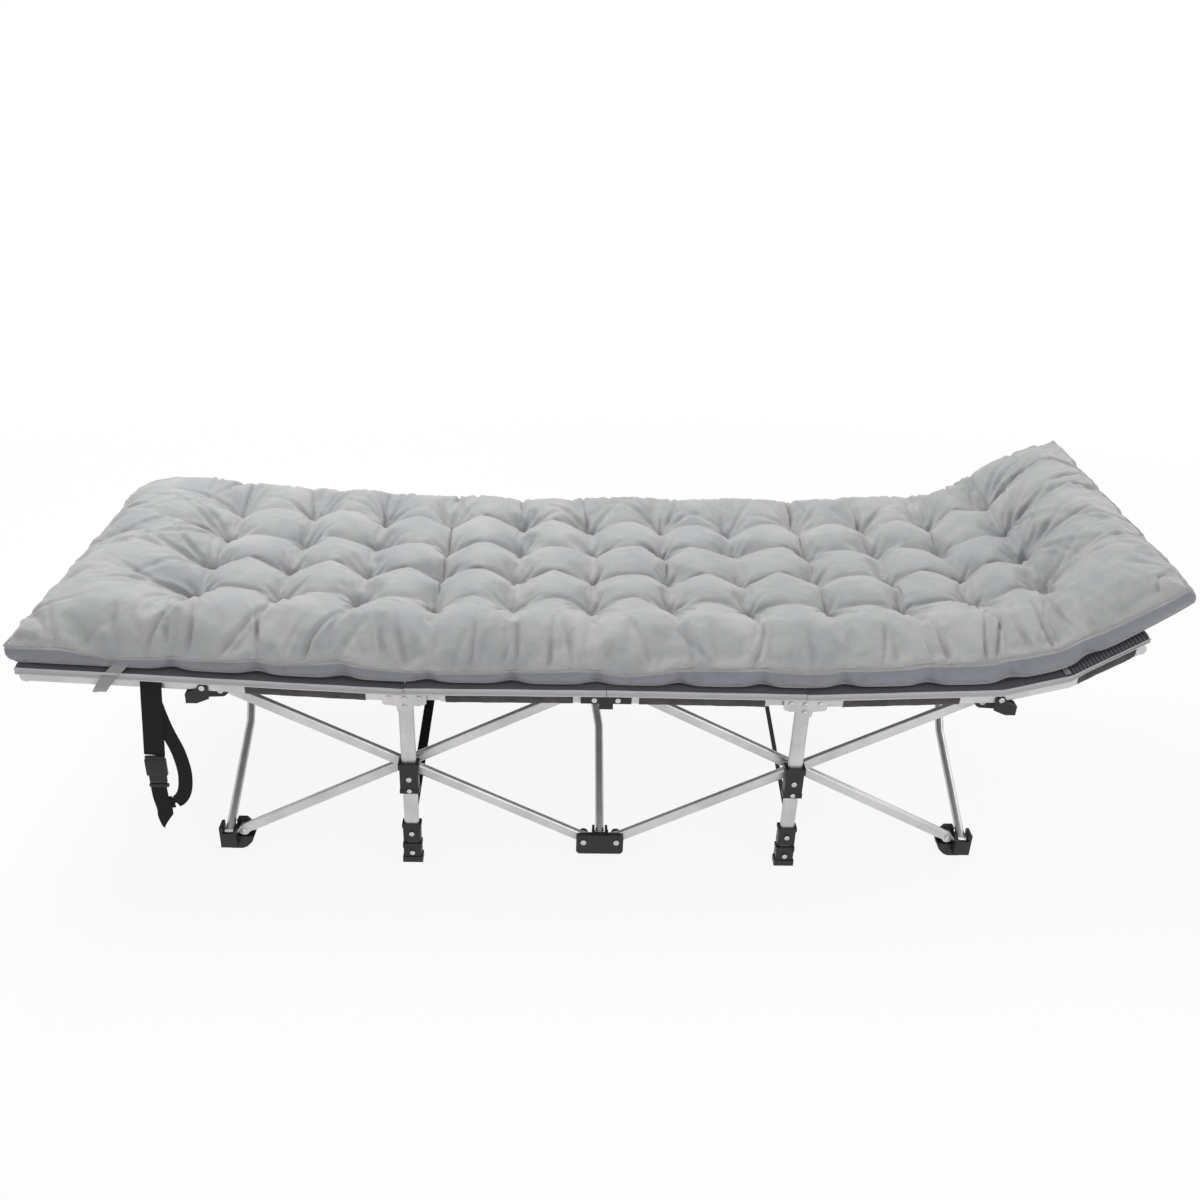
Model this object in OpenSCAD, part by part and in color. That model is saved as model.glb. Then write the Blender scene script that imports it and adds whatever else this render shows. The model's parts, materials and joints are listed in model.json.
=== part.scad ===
// Folding camp cot with a padded mattress: two scissor side frames joined by
// three pairs of crossing tubes, hinged side rails, four sliding legs, a
// fabric deck and a tufted mattress. Millimetres, +Z up, foot end at -X.

/* [Frame] */
// horizontal run of every scissor arm, and the distance between the side frames
arm_span = 620; // [560:5:680]
// height of the lower arm pivots above the floor
pivot_low = 40; // [36:1:46]
// vertical distance between lower and upper arm pivots
rise = 316; // [280:2:340]
// distance of the arm pivots from the centre of each middle block
mid_pivot = 30; // [28:1:40]
// height of the flat arm and rail tubes
tube_w = 20; // [16:1:22]
// depth of the flat arm tubes
tube_t = 12.5; // [10:0.5:13]
// wall thickness of every metal tube
wall = 1.2; // [0.8:0.1:2]
// outside diameter of the crossing tubes
cross_d = 16; // [12:0.5:16]
// sideways bend that lets two crossing tubes pass
cross_bend = 9; // [8.5:0.5:11]
// slope of the bent lengths of the crossing tubes, in degrees
cross_angle = 8; // [6:0.5:12]
// straight length at the middle of a crossing tube, to one side
cross_mid_run = 55; // [40:5:80]
// diameter of the pivot rivets
pin_d = 6.4; // [5:0.2:7]
// radial play around every rivet
pin_play = 0.2; // [0.15:0.05:0.4]

/* [Rails] */
// distance from an end block's arm pivot out to its rail pivot
rail_out = 24; // [22:1:28]
// distance of the inner rail pivots from the middle of the cot
rail_mid = 20; // [18:1:24]
// distance of the rail pivots from the centre of a leg bracket
bracket_pitch = 25; // [23:1:30]
// height of the leg bracket pivots above the upper arm pivots
lift_leg = 1; // [0:0.5:3]
// height of the end rail pivots above the upper arm pivots
lift_end = 16; // [12:0.5:18]
// height of the middle rail pivots above the upper arm pivots
lift_mid = 3; // [2:0.5:5]
// distance of the foot end of the rails from the middle of the cot
foot_reach = 962; // [900:2:1000]
// where the head rails start to bend upwards
head_bend_x = 786; // [750:2:810]
// height of that bend above the end rail pivots
head_bend_z = 31; // [15:1:40]
// distance of the head end of the rails from the middle of the cot
head_reach = 893; // [860:2:930]
// height of the head end of the rails above the end rail pivots
head_rise = 100; // [60:2:130]

/* [Legs] */
// width of the leg tube
leg_w = 26; // [22:1:30]
// depth of the leg tube
leg_t = 12.5; // [10:0.5:13]
// height of the sliding collars
collar_h = 62; // [50:1:66]
// width of the sliding collars
collar_w = 36; // [33:1:40]

// height at which a cross strap leaves the near leg
strap_low = 94; // [90:1:120]
// height at which it reaches the far leg
strap_high = 316; // [280:2:320]
// width of the cross straps
strap_w = 18; // [14:1:22]

/* [Deck] */
// thickness of the deck fabric
fabric = 2; // [1.5:0.1:3]
// height of the deck surface above the rail centres
deck_lift = 22; // [18:0.5:24]
// height of the light edge trim
trim_h = 12; // [10:0.5:15]

/* [Mattress] */
// full width of the mattress
mat_w = 686; // [600:2:700]
// thickness of the mattress at the crowns of its pillows
mat_t = 80; // [60:1:90]
// height of the seam round its sides
seam_h = 24; // [16:1:34]
// width of the rounded border
roll_w = 80; // [60:1:100]
// distance of the first line of tufts from the foot end
tuft_start = 265; // [200:5:300]
// distance between the lines of tufts along the mattress
tuft_pitch = 141.3; // [120:0.1:150]
// distance between the rows of tufts across it
tuft_row = 116; // [100:1:125]
// depth of the valleys between the pillows
valley = 32; // [10:1:40]
// distance of the foot end of the mattress from the middle of the cot
mat_foot = 990; // [940:2:1010]
// distance of the head end of the mattress from the middle of the cot
mat_head = 985; // [920:2:1000]
// distance of the elastic corner bands beyond the end rail pivots
band_reach = 152; // [130:2:200]
// width of the elastic corner bands
band_w = 20; // [15:1:30]

/* [Tie strap] */
// distance of the tie strap beyond the end rail pivots
tie_reach = 98; // [80:2:115]
// width of the tie strap
tie_w = 24; // [20:1:30]
// how far the buckle's top hangs below the end rail pivots
tie_drop = 132; // [100:2:150]
// height of the buckle
buckle_h = 68; // [60:1:80]
// length of the tail below the buckle
tie_tail = 90; // [60:2:110]

/* [Hidden] */
$fn = 32;
metal = [0.78, 0.77, 0.76];
plastic = [0.16, 0.15, 0.14];
cloth = [0.36, 0.36, 0.39];
plush = [0.66, 0.67, 0.69];
webbing = [0.08, 0.08, 0.08];
plane = arm_span / 2;
pivot_high = pivot_low + rise;
end_x = mid_pivot + arm_span;
leg_x = mid_pivot + arm_span / 2;
cross_x = end_x + 25;
arm_len = sqrt(arm_span * arm_span + rise * rise);
arm_tilt = atan(rise / arm_span);
half_z = pivot_low + rise / 2;
rail_x = end_x + rail_out;
rail_z = pivot_high + lift_end;
mid_z = pivot_high + lift_mid;
leg_z = pivot_high + lift_leg;
out_x = leg_x + bracket_pitch;
in_x = leg_x - bracket_pitch;
end_run = rail_x - out_x;
end_tilt = atan((rail_z - leg_z) / end_run);
mid_run = in_x - rail_mid;
mid_tilt = atan((mid_z - leg_z) / mid_run);
bend_tilt = atan(head_bend_z / (head_bend_x - rail_x));
head_tilt = atan((head_rise - head_bend_z) / (head_reach - head_bend_x));
foot_z = rail_z + (foot_reach - rail_x) * tan(end_tilt);
pin_r = pin_d / 2;
hole_r = pin_r + pin_play;
// a bent length of tube is drawn a little thinner than the straight ones
bend_draw = 0.1;
strap_t = 1.6;
cross_pin_r = 3;
cross_hole_r = cross_pin_r + pin_play;
end_r = tube_w / 2;
// depths are measured outwards from the plane of the crossing tubes
rear_out = -2.5;
rear_in = rear_out - tube_t;
front_in = -0.5;
front_out = front_in + tube_t;
leg_in = 16;
leg_out = leg_in + leg_t;
rail_in = 24;
rail_out_d = 37;
plate_in = 38.5;
plate_out = 41;
trim_in = 41.4;
trim_out = trim_in + fabric;
tongue_gap = 36;
collar_top = half_z + 18;
tuft_lines = 12;
tuft_rows = 4;
tuft_shift = 20;
bend_z = rail_z + head_bend_z;
head_z = rail_z + head_rise;

// a box between two x, two depths and two heights
module slab(x0, x1, d0, d1, z0, z1) {
    translate([x0, -(plane + d1), z0]) cube([x1 - x0, d1 - d0, z1 - z0]);
}

// a round bar along the depth
module pin(x, d0, d1, z, r) {
    translate([x, -(plane + d0), z]) rotate([90, 0, 0]) cylinder(r = r, h = d1 - d0);
}

// a round bar along x
module xpin(x0, x1, d, z, r) {
    translate([x0, -(plane + d), z]) rotate([0, 90, 0]) cylinder(r = r, h = x1 - x0);
}

// a flat outline in x and z, drawn out over a range of depths
module plate(d0, d1) {
    translate([0, -(plane + d0), 0]) rotate([90, 0, 0]) linear_extrude(d1 - d0) children();
}

// a round bar between two points
module rod(p, q, r) {
    v = q - p;
    l = norm(v);
    translate(p) rotate([0, acos(v[2] / l), atan2(v[1], v[0])]) cylinder(r = r, h = l);
}

// a flat oval outline, w across and t deep
module oval(w, t) {
    r = min(5, t / 2 - 0.5, w / 2 - 0.5);
    square([w, t - 2 * r], center = true);
    square([w - 2 * r, t], center = true);
    for (i = [-1, 1]) {
        translate([i * (w / 2 - r), t / 2 - r]) circle(r = r);
        translate([i * (w / 2 - r), r - t / 2]) circle(r = r);
    }
}

// a flat oval bar along +x from the origin
module bar(l, w, t) {
    rotate([90, 0, 90]) linear_extrude(l) oval(t, w);
}

// a rivet head, proud of a face at depth d
module head(x, d, z, out, r = 5) {
    pin(x, out > 0 ? d : d - 1.6, out > 0 ? d + 1.6 : d, z, r);
}

// flat scissor arm between two pivots, seen from the near side, foot half
module side_arm(x0, z0, tilt, d0) {
    difference() {
        translate([x0, -(plane + d0 + tube_t / 2), z0]) rotate([0, -tilt, 0]) difference() {
            union() {
                bar(arm_len, tube_w, tube_t);
                for (s = [0, arm_len])
                    translate([s, tube_t / 2, 0]) rotate([90, 0, 0]) cylinder(r = end_r, h = tube_t);
            }
            translate([-2, 0, 0]) bar(arm_len + 4, tube_w - 2 * wall, tube_t - 2 * wall);
        }
        for (s = [0, 0.5, 1])
            pin(x0 + s * arm_span, d0 - 1, d0 + tube_t + 1, z0 + s * arm_span * tan(tilt), hole_r);
    }
}

// rivet at the foot end block that holds a front arm
module front_arm() {
    side_arm(-end_x, pivot_high, -arm_tilt, front_in);
    pin(-end_x, -9.5, 21.5, pivot_high, pin_r);
    head(-end_x, 21.5, pivot_high, 1);
    pin(-mid_pivot, -9.5, 20.5, pivot_low, pin_r);
    head(-mid_pivot, 20.5, pivot_low, 1);
}

// the rear arm also carries the scissor's centre rivet
module rear_arm() {
    side_arm(-end_x, pivot_low, arm_tilt, rear_in);
    pin(-end_x, -22.5, rear_out, pivot_low, pin_r);
    head(-end_x, rear_out, pivot_low, 1);
    pin(-mid_pivot, -22.5, 5.5, pivot_high, pin_r);
    pin(-leg_x, rear_in, 15, half_z, pin_r);
    head(-leg_x, rear_in, half_z, -1);
}

// a point on a crossing tube's axis, from its near lower pivot to its far upper one
function cross_at(x, s) = [x, -plane + s * arm_span, pivot_low + s * rise];

// everything on one side of a mitre through a bend, at half the slope of the bent length
module mitre(p, side) {
    translate([p[0], p[1], 0]) rotate([0, 0, -cross_angle / 2]) translate([side > 0 ? 0 : -60, -30,
        -30]) cube(60);
}

// half a crossing tube from its middle outwards, bent sideways by cross_bend
module cross_half(r) {
    p = [cross_mid_run, cross_bend];
    q = [cross_mid_run + cross_bend / tan(cross_angle), 0];
    difference() {
        translate([0, cross_bend, 0]) rotate([0, 90, 0]) cylinder(r = r, h = p[0] + 5);
        mitre(p, 1);
    }
    difference() {
        translate([p[0], p[1], 0]) rotate([0, 0, -cross_angle]) rotate([0, 90, 0])
            translate([0, 0, -5]) cylinder(r = r - bend_draw, h = cross_bend / sin(cross_angle) + 10);
        mitre(p, -1);
        mitre(q, 1);
    }
    difference() {
        translate([q[0] - 5, 0, 0]) rotate([0, 90, 0]) cylinder(r = r, h = arm_len / 2 - q[0] + 5);
        mitre(q, -1);
    }
}

module cross_line(x, side, r) {
    translate(cross_at(x, 0.5)) rotate([arm_tilt, 0, 0]) rotate([0, 0, 90]) mirror([0, side, 0]) {
        cross_half(r);
        mirror([1, 0, 0]) cross_half(r);
    }
}

// tube from the near lower block to the far upper block, bent to -x, or to +x if side is 1
module cross_tube(x, side, rivet) {
    r = cross_d / 2;
    difference() {
        union() {
            cross_line(x, side, r);
            for (s = [0, 1])
                translate(cross_at(x - r + 0.4, s)) rotate([0, 90, 0]) cylinder(r = r - 0.3,
                    h = 2 * r - 0.8);
        }
        cross_line(x, side, r - wall);
        for (s = [0, 1])
            translate(cross_at(x - 20, s)) rotate([0, 90, 0]) cylinder(r = cross_hole_r, h = 40);
        translate(cross_at(x - 30, 0.5)) rotate([0, 90, 0]) cylinder(r = 2.7, h = 60);
    }
    for (s = [0, 1])
        translate(cross_at(x - 15, s)) rotate([0, 90, 0]) cylinder(r = cross_pin_r, h = 30);
    if (rivet) {
        l = 2 * (cross_bend + r + 1);
        translate(cross_at(x - l / 2, 0.5)) rotate([0, 90, 0]) cylinder(r = 2.5, h = l);
        for (i = [-1, 1])
            translate(cross_at(x + i * (l / 2 + 0.75) - 0.75, 0.5))
                rotate([0, 90, 0]) cylinder(r = 4.5, h = 1.5);
    }
}

// block that joins a front arm, an end rail and a crossing tube
module top_corner() {
    x = -end_x;
    z = pivot_high;
    difference() {
        union() {
            plate(13, 21.5) {
                translate([x, z]) circle(r = 13);
                translate([-rail_x, rail_z]) circle(r = 12);
                polygon([[-rail_x - 30, z - 16], [x - 2, z - 13], [x + 12, z + 4],
                    [-rail_x + 8, rail_z + 9],
                    [-rail_x - 10, rail_z + 6], [-rail_x - 30, z]]);
            }
            // rear cheek and bridge of the arm ear
            plate(-9.5, -2) translate([x, z]) circle(r = 12);
            slab(x - 12, x + 8, -9.5, 13, z + 11.5, z + 15);
            // fork of the crossing tube
            slab(-cross_x - 14, -cross_x - 9, -11, 13.5, z - 12, z + 15);
            slab(-cross_x + 9, -cross_x + 13, -11, 13.5, z - 12, z + 15);
            slab(-cross_x - 14, x - 11, -11, 13.5, z + 9.5, z + 15);
            slab(-cross_x - 14, -cross_x + 13, 9.5, 13.5, z - 12, z + 15);
            // web and outer cheek around the rail
            slab(-rail_x - 30, -rail_x - 13, 21, plate_in, rail_z - 31, rail_z - 13);
            plate(plate_in, plate_out) {
                translate([-rail_x, rail_z - 3]) circle(r = 9);
                polygon([[-rail_x - 30, rail_z - 31], [-rail_x - 12, rail_z - 31],
                    [-rail_x + 9, rail_z - 22],
                    [-rail_x + 9, rail_z - 3], [-rail_x - 9, rail_z - 3], [-rail_x - 30, rail_z - 13]]);
            }
        }
        pin(x, -12, 24, z, hole_r);
        pin(-rail_x, 11, 45, rail_z, hole_r);
        xpin(-cross_x - 20, -cross_x + 16, 0, z, cross_hole_r);
    }
}

// foot block that joins a rear arm and a crossing tube, and stands on the floor
module base_corner() {
    x = -end_x;
    z = pivot_low;
    difference() {
        union() {
            plate(-24, -1) polygon([[x - 42, 10], [x - 34, 2], [x - 26, 0], [x - 6, 0], [x + 3, 4],
                [x + 13, 15], [x + 17, z - 13], [x - 42, z - 13]]);
            // tall plate behind the arm
            plate(-22.5, -16.5) polygon([[x - 30, z - 14], [x + 17, z - 14], [x + 12, z + 8],
                [x + 4, z + 18], [x - 12, z + 18], [x - 24, z - 4]]);
            // fork of the crossing tube
            slab(-cross_x - 15, -cross_x - 9.5, -11, 14, 13, z + 17);
            slab(-cross_x + 9.5, -cross_x + 14, -11, 14, 13, z + 9);
            slab(-cross_x - 15, -cross_x + 14, 9.5, 14, 13, z + 4);
            slab(-cross_x - 15, -cross_x + 14, -11, 14, 13, z - 11);
        }
        // way for the crossing tube through the tall plate
        slab(-cross_x - 20, -cross_x + 9.5, -30, -12, z - 6, z + 30);
        pin(x, -30, 10, z, hole_r);
        xpin(-cross_x - 20, -cross_x + 16, 0, z, cross_hole_r);
    }
}

// middle foot block: two front arms and a crossing tube
module base_middle() {
    z = pivot_low;
    w = mid_pivot + 12;
    difference() {
        union() {
            plate(-24, 1) polygon([[-w, 6], [-w + 8, 0], [w - 8, 0], [w, 6], [w, z - 13],
                [-w, z - 13]]);
            plate(1, 13.2) polygon([[-w, 12], [-w + 8, 8], [w - 8, 8], [w, 12], [w, z - 13],
                [-w, z - 13]]);
            plate(13, 20.5) polygon([[-w - 1, 18], [-w + 4, 13], [w - 4, 13], [w + 1, 18],
                [w + 1, z + 10],
                [w - 3, z + 15], [3 - w, z + 15], [-w - 1, z + 10]]);
            plate(-8, -2) polygon([[-w, z - 14], [w, z - 14], [w, z], [-w, z]]);
            for (i = [-1, 1]) pin(i * mid_pivot, -8, -2, z, 9);
            for (i = [-1, 1]) {
                slab(i * 11.75 - 2.25, i * 11.75 + 2.25, -11, 13.5, z - 14, z + 15);
                slab(i * 12 - 3, i * 12 + 3, 8, 16, z, z + 19);
            }
            slab(-12, 12, 10, 13.5, z - 14, z + 15);
        }
        slab(-9.5, 9.5, -30, 10, z - 10, z + 30);
        for (i = [-1, 1]) pin(i * mid_pivot, -12, 24, z, hole_r);
        xpin(-20, 20, 0, z, cross_hole_r);
    }
}

// middle top block: two rear arms, two rails and a crossing tube
module top_middle() {
    z = pivot_high;
    w = mid_pivot + 12;
    difference() {
        union() {
            plate(14, 21.5) polygon([[-w, z - 9], [-14, z - 13], [14, z - 13], [w, z - 9],
                [w, z + 12], [-w, z + 12]]);
            plate(-1, 5.5) polygon([[-w, z - 9], [-14, z - 13], [14, z - 13], [w, z - 9],
                [w, z + 12], [-w, z + 12]]);
            plate(-22.5, -16.5) polygon([[-w, z - 9], [-14, z - 13], [14, z - 13], [w, z - 9],
                [w, z + 12], [-w, z + 12]]);
            slab(-13.5, 13.5, -22, 21, z - 12, z + 15);
            slab(-w, w, 5, 15, z + 8, z + 12);
            // web between the rails, and the outer bar over their ends
            slab(-8.5, 8.5, 21, plate_in + 0.5, z - 14, z + 11);
            slab(-w - 1, w + 1, plate_in, plate_out, mid_z - 7, mid_z + 8);
            slab(-12, 12, plate_in, plate_out, z - 15, z + 9);
        }
        slab(-9.5, 9.5, -30, 10, z - 30, z + 9.5);
        for (i = [-1, 1]) {
            pin(i * mid_pivot, -30, 8, z, hole_r);
            pin(i * rail_mid, 11, 45, mid_z, hole_r);
        }
        xpin(-20, 20, 0, z, cross_hole_r);
    }
}

// one straight length of rail between two points in x and z, lengthened at its ends
module rail_run(p, q, w, t, e0 = 0, e1 = 0) {
    v = q - p;
    translate([p[0], -(plane + (rail_in + rail_out_d) / 2), p[1]])
        rotate([0, -atan2(v[1], v[0]), 0]) translate([-e0, 0, 0]) bar(norm(v) + e0 + e1, w, t);
}

// everything on one side of a mitre through a rail's bend
module rail_mitre(p, tilt, side) {
    translate([p[0], -(plane + 30), p[1]]) rotate([0, -tilt, 0])
        translate([side > 0 ? 0 : -60, -30, -30]) cube(60);
}

// rounded rail end
module rail_knot(p, t) {
    pin(p[0], (rail_in + rail_out_d - t) / 2, (rail_in + rail_out_d + t) / 2, p[1], end_r - 0.3);
}

// flat tongue from a leg bracket pivot into the rail tube
module tongue(p, q, d0) {
    v = q - p;
    pin(p[0], d0, d0 + 3, p[1], 8);
    translate([p[0], -(plane + d0 + 3), p[1]]) rotate([0, -atan2(v[1], v[0]), 0])
        translate([0, 0, -7.8]) cube([norm(v) + 2, 3, 15.6]);
}

// bores of a rail, and the rivet that turns in its block
module rail_bores(p, q) {
    pin(p[0], 20, 40, p[1], hole_r);
    pin(q[0], 20, 40, q[1], hole_r);
}

module rail_rivet(x, z, d0) {
    pin(x, d0, plate_out, z, pin_r);
    head(x, plate_out, z, 1, 4.5);
}

// end rail of the foot half, straight through its block pivot
module foot_rail() {
    t = rail_out_d - rail_in;
    leg_end = [-out_x, leg_z];
    start = leg_end + tongue_gap * [-cos(end_tilt), sin(end_tilt)];
    inside = start + 4 * [-cos(end_tilt), sin(end_tilt)];
    far_end = [-foot_reach, foot_z];
    difference() {
        union() {
            rail_run(start, far_end, tube_w, t);
            rail_knot(far_end, t - 0.6);
            tongue(leg_end, start, 33.6);
        }
        rail_run(inside, far_end, tube_w - 2 * wall, t - 2 * wall);
        rail_bores(leg_end, [-rail_x, rail_z]);
    }
    rail_rivet(-rail_x, rail_z, 13);
}

// bent tube of the head rail
module head_tube(start, w, t) {
    at = [rail_x, rail_z];
    bend = [head_bend_x, bend_z];
    top = [head_reach, head_z];
    tilt_1 = (end_tilt + bend_tilt) / 2;
    tilt_2 = (bend_tilt + head_tilt) / 2;
    difference() {
        rail_run(start, at, w, t, 0, 9);
        rail_mitre(at, tilt_1, 1);
    }
    difference() {
        rail_run(at, bend, w - 2 * bend_draw, t - 2 * bend_draw, 9, 9);
        rail_mitre(at, tilt_1, -1);
        rail_mitre(bend, tilt_2, 1);
    }
    difference() {
        rail_run(bend, top, w, t, 9, 0);
        rail_mitre(bend, tilt_2, -1);
    }
}

// end rail of the head half, bent up beyond its block pivot
module head_rail() {
    t = rail_out_d - rail_in;
    leg_end = [out_x, leg_z];
    start = leg_end + tongue_gap * [cos(end_tilt), sin(end_tilt)];
    difference() {
        union() {
            head_tube(start, tube_w, t);
            rail_knot([head_reach, head_z], t - 0.6);
            tongue(leg_end, start, 33.6);
        }
        head_tube(start + 4 * [cos(end_tilt), sin(end_tilt)], tube_w - 2 * wall, t - 2 * wall);
        rail_bores(leg_end, [rail_x, rail_z]);
    }
    rail_rivet(rail_x, rail_z, 13);
}

// middle rail of the foot half
module middle_rail() {
    t = rail_out_d - rail_in;
    leg_end = [-in_x, leg_z];
    inner = [-rail_mid, mid_z];
    start = leg_end + tongue_gap * [cos(mid_tilt), sin(mid_tilt)];
    difference() {
        union() {
            rail_run(start, inner, tube_w, t);
            rail_knot(inner, t - 0.6);
            tongue(leg_end, start, 30);
        }
        rail_run(start + [4, 0], inner, tube_w - 2 * wall, t - 2 * wall);
        rail_bores(leg_end, inner);
    }
    rail_rivet(-rail_mid, mid_z, 14);
}

// collar that slides on a leg and carries the scissor rivet
module collar() {
    x = -leg_x;
    w = collar_w / 2;
    z1 = collar_top;
    z0 = collar_top - collar_h;
    difference() {
        union() {
            slab(x - w + 2, x + w - 2, 13, 33.5, z0, z1);
            slab(x - w, x + w, 13, 34.5, z1 - 12, z1);
            slab(x - w + 1, x + w - 1, 13, 34, z0, z0 + 8);
        }
        slab(x - leg_w / 2 - 0.4, x + leg_w / 2 + 0.4, leg_in - 0.4, leg_out + 0.4, z0 - 1, z1 + 1);
        pin(x, 10, 17, half_z, hole_r);
    }
}

// sliding leg: telescoped tubes, bracket plate and its rivets
module leg() {
    x = -leg_x;
    zt = leg_z + 8;
    difference() {
        translate([x, -(plane + leg_in + leg_t / 2), 62]) linear_extrude(zt - 62) oval(leg_w, leg_t);
        translate([x, -(plane + leg_in + leg_t / 2),
            61]) linear_extrude(zt - 70) oval(leg_w - 2 * wall, leg_t - 2 * wall);
    }
    difference() {
        translate([x, -(plane + leg_in + leg_t / 2),
            6]) linear_extrude(110) oval(leg_w - 2 * wall - 0.6, leg_t - 2 * wall - 0.6);
        translate([x, -(plane + leg_in + leg_t / 2), 12])
            linear_extrude(110) oval(leg_w - 4 * wall - 0.6, leg_t - 4 * wall - 0.6);
    }
    plate(plate_in, plate_out) {
        polygon([[x - 37, leg_z - 10], [x - 34, leg_z - 13], [x - 14, leg_z - 15], [x - 12, leg_z - 26],
            [x + 12, leg_z - 26], [x + 14, leg_z - 15], [x + 34, leg_z - 13], [x + 37, leg_z - 10],
            [x + 37, leg_z + 12], [x - 37, leg_z + 12]]);
    }
    for (i = [-1, 1]) head(x + i * bracket_pitch, plate_out, leg_z, 1, 4.5);
    head(x, plate_out, leg_z - 1, 1, 4.5);
    head(x, plate_out, leg_z - 17, 1, 4.5);
}

// moulded saddle that joins a leg to its bracket plate
module saddle() {
    x = -leg_x;
    difference() {
        union() {
            slab(x - 24, x + 24, 13, 23.5, leg_z - 26, leg_z - 16);
            slab(x - 5, x + 5, 13, plate_in, leg_z + 8.2, leg_z + 12);
            plate(13, 15.6) polygon([[x - 36, leg_z - 14], [x - 24, leg_z - 26], [x + 24, leg_z - 26],
                [x + 36, leg_z - 14], [x + 36, leg_z + 12], [x - 36, leg_z + 12]]);
        }
        slab(x - leg_w / 2 - 0.1, x + leg_w / 2 + 0.1, leg_in - 0.1, leg_out + 0.1, leg_z - 40,
            leg_z + 8.1);
    }
}

// lower collar and foot cap of a leg
module boots() {
    x = -leg_x;
    difference() {
        union() {
            slab(x - 15.5, x + 15.5, 13.5, 31, 46, 84);
            slab(x - 17, x + 17, 13, 31.5, 76, 84);
        }
        translate([x, -(plane + leg_in + leg_t / 2), 61]) linear_extrude(30) oval(leg_w + 0.2,
            leg_t + 0.2);
        translate([x, -(plane + leg_in + leg_t / 2), 40]) linear_extrude(40) oval(leg_w - 2 * wall,
            leg_t - 2 * wall);
    }
    pin(x, 31, 32.6, 64, 4);
    difference() {
        union() {
            slab(x - 18, x + 18, 13, 33.5, 0, 12);
            slab(x - 16, x + 16, 13, 32, 0, 36);
            slab(x - 17, x + 17, 13, 32.5, 32, 41);
        }
        translate([x, -(plane + leg_in + leg_t / 2),
            5.8]) linear_extrude(40) oval(leg_w - 2 * wall, leg_t - 2 * wall);
    }
    pin(x, 32, 33.6, 22, 4);
}

// outline of a deck run in x and z, as wide as the cot
module deck_run(pts) {
    w = plane + trim_out;
    translate([0, w, 0]) rotate([90, 0, 0]) linear_extrude(2 * w) polygon(concat(
        [for (p = pts) [p[0], p[1] + deck_lift]],
        [for (i = [len(pts) - 1 : -1 : 0]) [pts[i][0], pts[i][1] + deck_lift - fabric]]));
    for (i = [0, 1]) mirror([0, i, 0]) plate(trim_in, trim_out) polygon(concat(
        [for (p = pts) [p[0], p[1] + deck_lift]],
        [for (j = [len(pts) - 1 : -1 : 0]) [pts[j][0], pts[j][1] + deck_lift - trim_h]]));
}

// sleeve around both rails, between two x on one straight run
module deck_sleeve(x0, z0, x1, z1) {
    for (i = [0, 1]) mirror([0, i, 0]) difference() {
        plate(22, 39.2) polygon([[x0, z0 + deck_lift - 0.5], [x1, z1 + deck_lift - 0.5],
            [x1, z1 - 12.5], [x0, z0 - 12.5]]);
        plate(23.3, 37.7) polygon([[x0 - 20, z0 - 20 * (z1 - z0) / (x1 - x0) + 11],
            [x1 + 20, z1 + 20 * (z1 - z0) / (x1 - x0) + 11],
            [x1 + 20, z1 + 20 * (z1 - z0) / (x1 - x0) - 10.8],
                [x0 - 20, z0 - 20 * (z1 - z0) / (x1 - x0) - 10.8]]);
    }
}

function end_line(x) = leg_z + (x - out_x) * (rail_z - leg_z) / end_run;
function mid_line(x) = mid_z + (x - rail_mid) * (leg_z - mid_z) / mid_run;

module base_foot_near() color(plastic) base_corner();
module base_mid_near() color(plastic) base_middle();
module base_head_near() color(plastic) mirror([1, 0, 0]) base_corner();
module base_foot_far() color(plastic) mirror([0, 1, 0]) base_corner();
module base_mid_far() color(plastic) mirror([0, 1, 0]) base_middle();
module base_head_far() color(plastic) mirror([0, 1, 0]) mirror([1, 0, 0]) base_corner();
module top_foot_near() color(plastic) top_corner();
module top_mid_near() color(plastic) top_middle();
module top_head_near() color(plastic) mirror([1, 0, 0]) top_corner();
module top_foot_far() color(plastic) mirror([0, 1, 0]) top_corner();
module top_mid_far() color(plastic) mirror([0, 1, 0]) top_middle();
module top_head_far() color(plastic) mirror([0, 1, 0]) mirror([1, 0, 0]) top_corner();
module arm_foot_front_near() color(metal) front_arm();
module arm_foot_rear_near() color(metal) rear_arm();
module arm_head_front_near() color(metal) mirror([1, 0, 0]) front_arm();
module arm_head_rear_near() color(metal) mirror([1, 0, 0]) rear_arm();
module arm_foot_front_far() color(metal) mirror([0, 1, 0]) front_arm();
module arm_foot_rear_far() color(metal) mirror([0, 1, 0]) rear_arm();
module arm_head_front_far() color(metal) mirror([0, 1, 0]) mirror([1, 0, 0]) front_arm();
module arm_head_rear_far() color(metal) mirror([0, 1, 0]) mirror([1, 0, 0]) rear_arm();
module cross_foot_a() color(metal) cross_tube(-cross_x, 0, true);
module cross_foot_b() color(metal) mirror([0, 1, 0]) cross_tube(-cross_x, 1, false);
module cross_mid_a() color(metal) cross_tube(0, 0, true);
module cross_mid_b() color(metal) mirror([0, 1, 0]) cross_tube(0, 1, false);
module cross_head_a() color(metal) mirror([1, 0, 0]) cross_tube(-cross_x, 0, true);
module cross_head_b() color(metal) mirror([0, 1, 0]) mirror([1, 0, 0]) cross_tube(-cross_x, 1, false);
module rail_foot_near() color(metal) foot_rail();
module rail_midfoot_near() color(metal) middle_rail();
module rail_midhead_near() color(metal) mirror([1, 0, 0]) middle_rail();
module rail_head_near() color(metal) head_rail();
module rail_foot_far() color(metal) mirror([0, 1, 0]) foot_rail();
module rail_midfoot_far() color(metal) mirror([0, 1, 0]) middle_rail();
module rail_midhead_far() color(metal) mirror([0, 1, 0]) mirror([1, 0, 0]) middle_rail();
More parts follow.
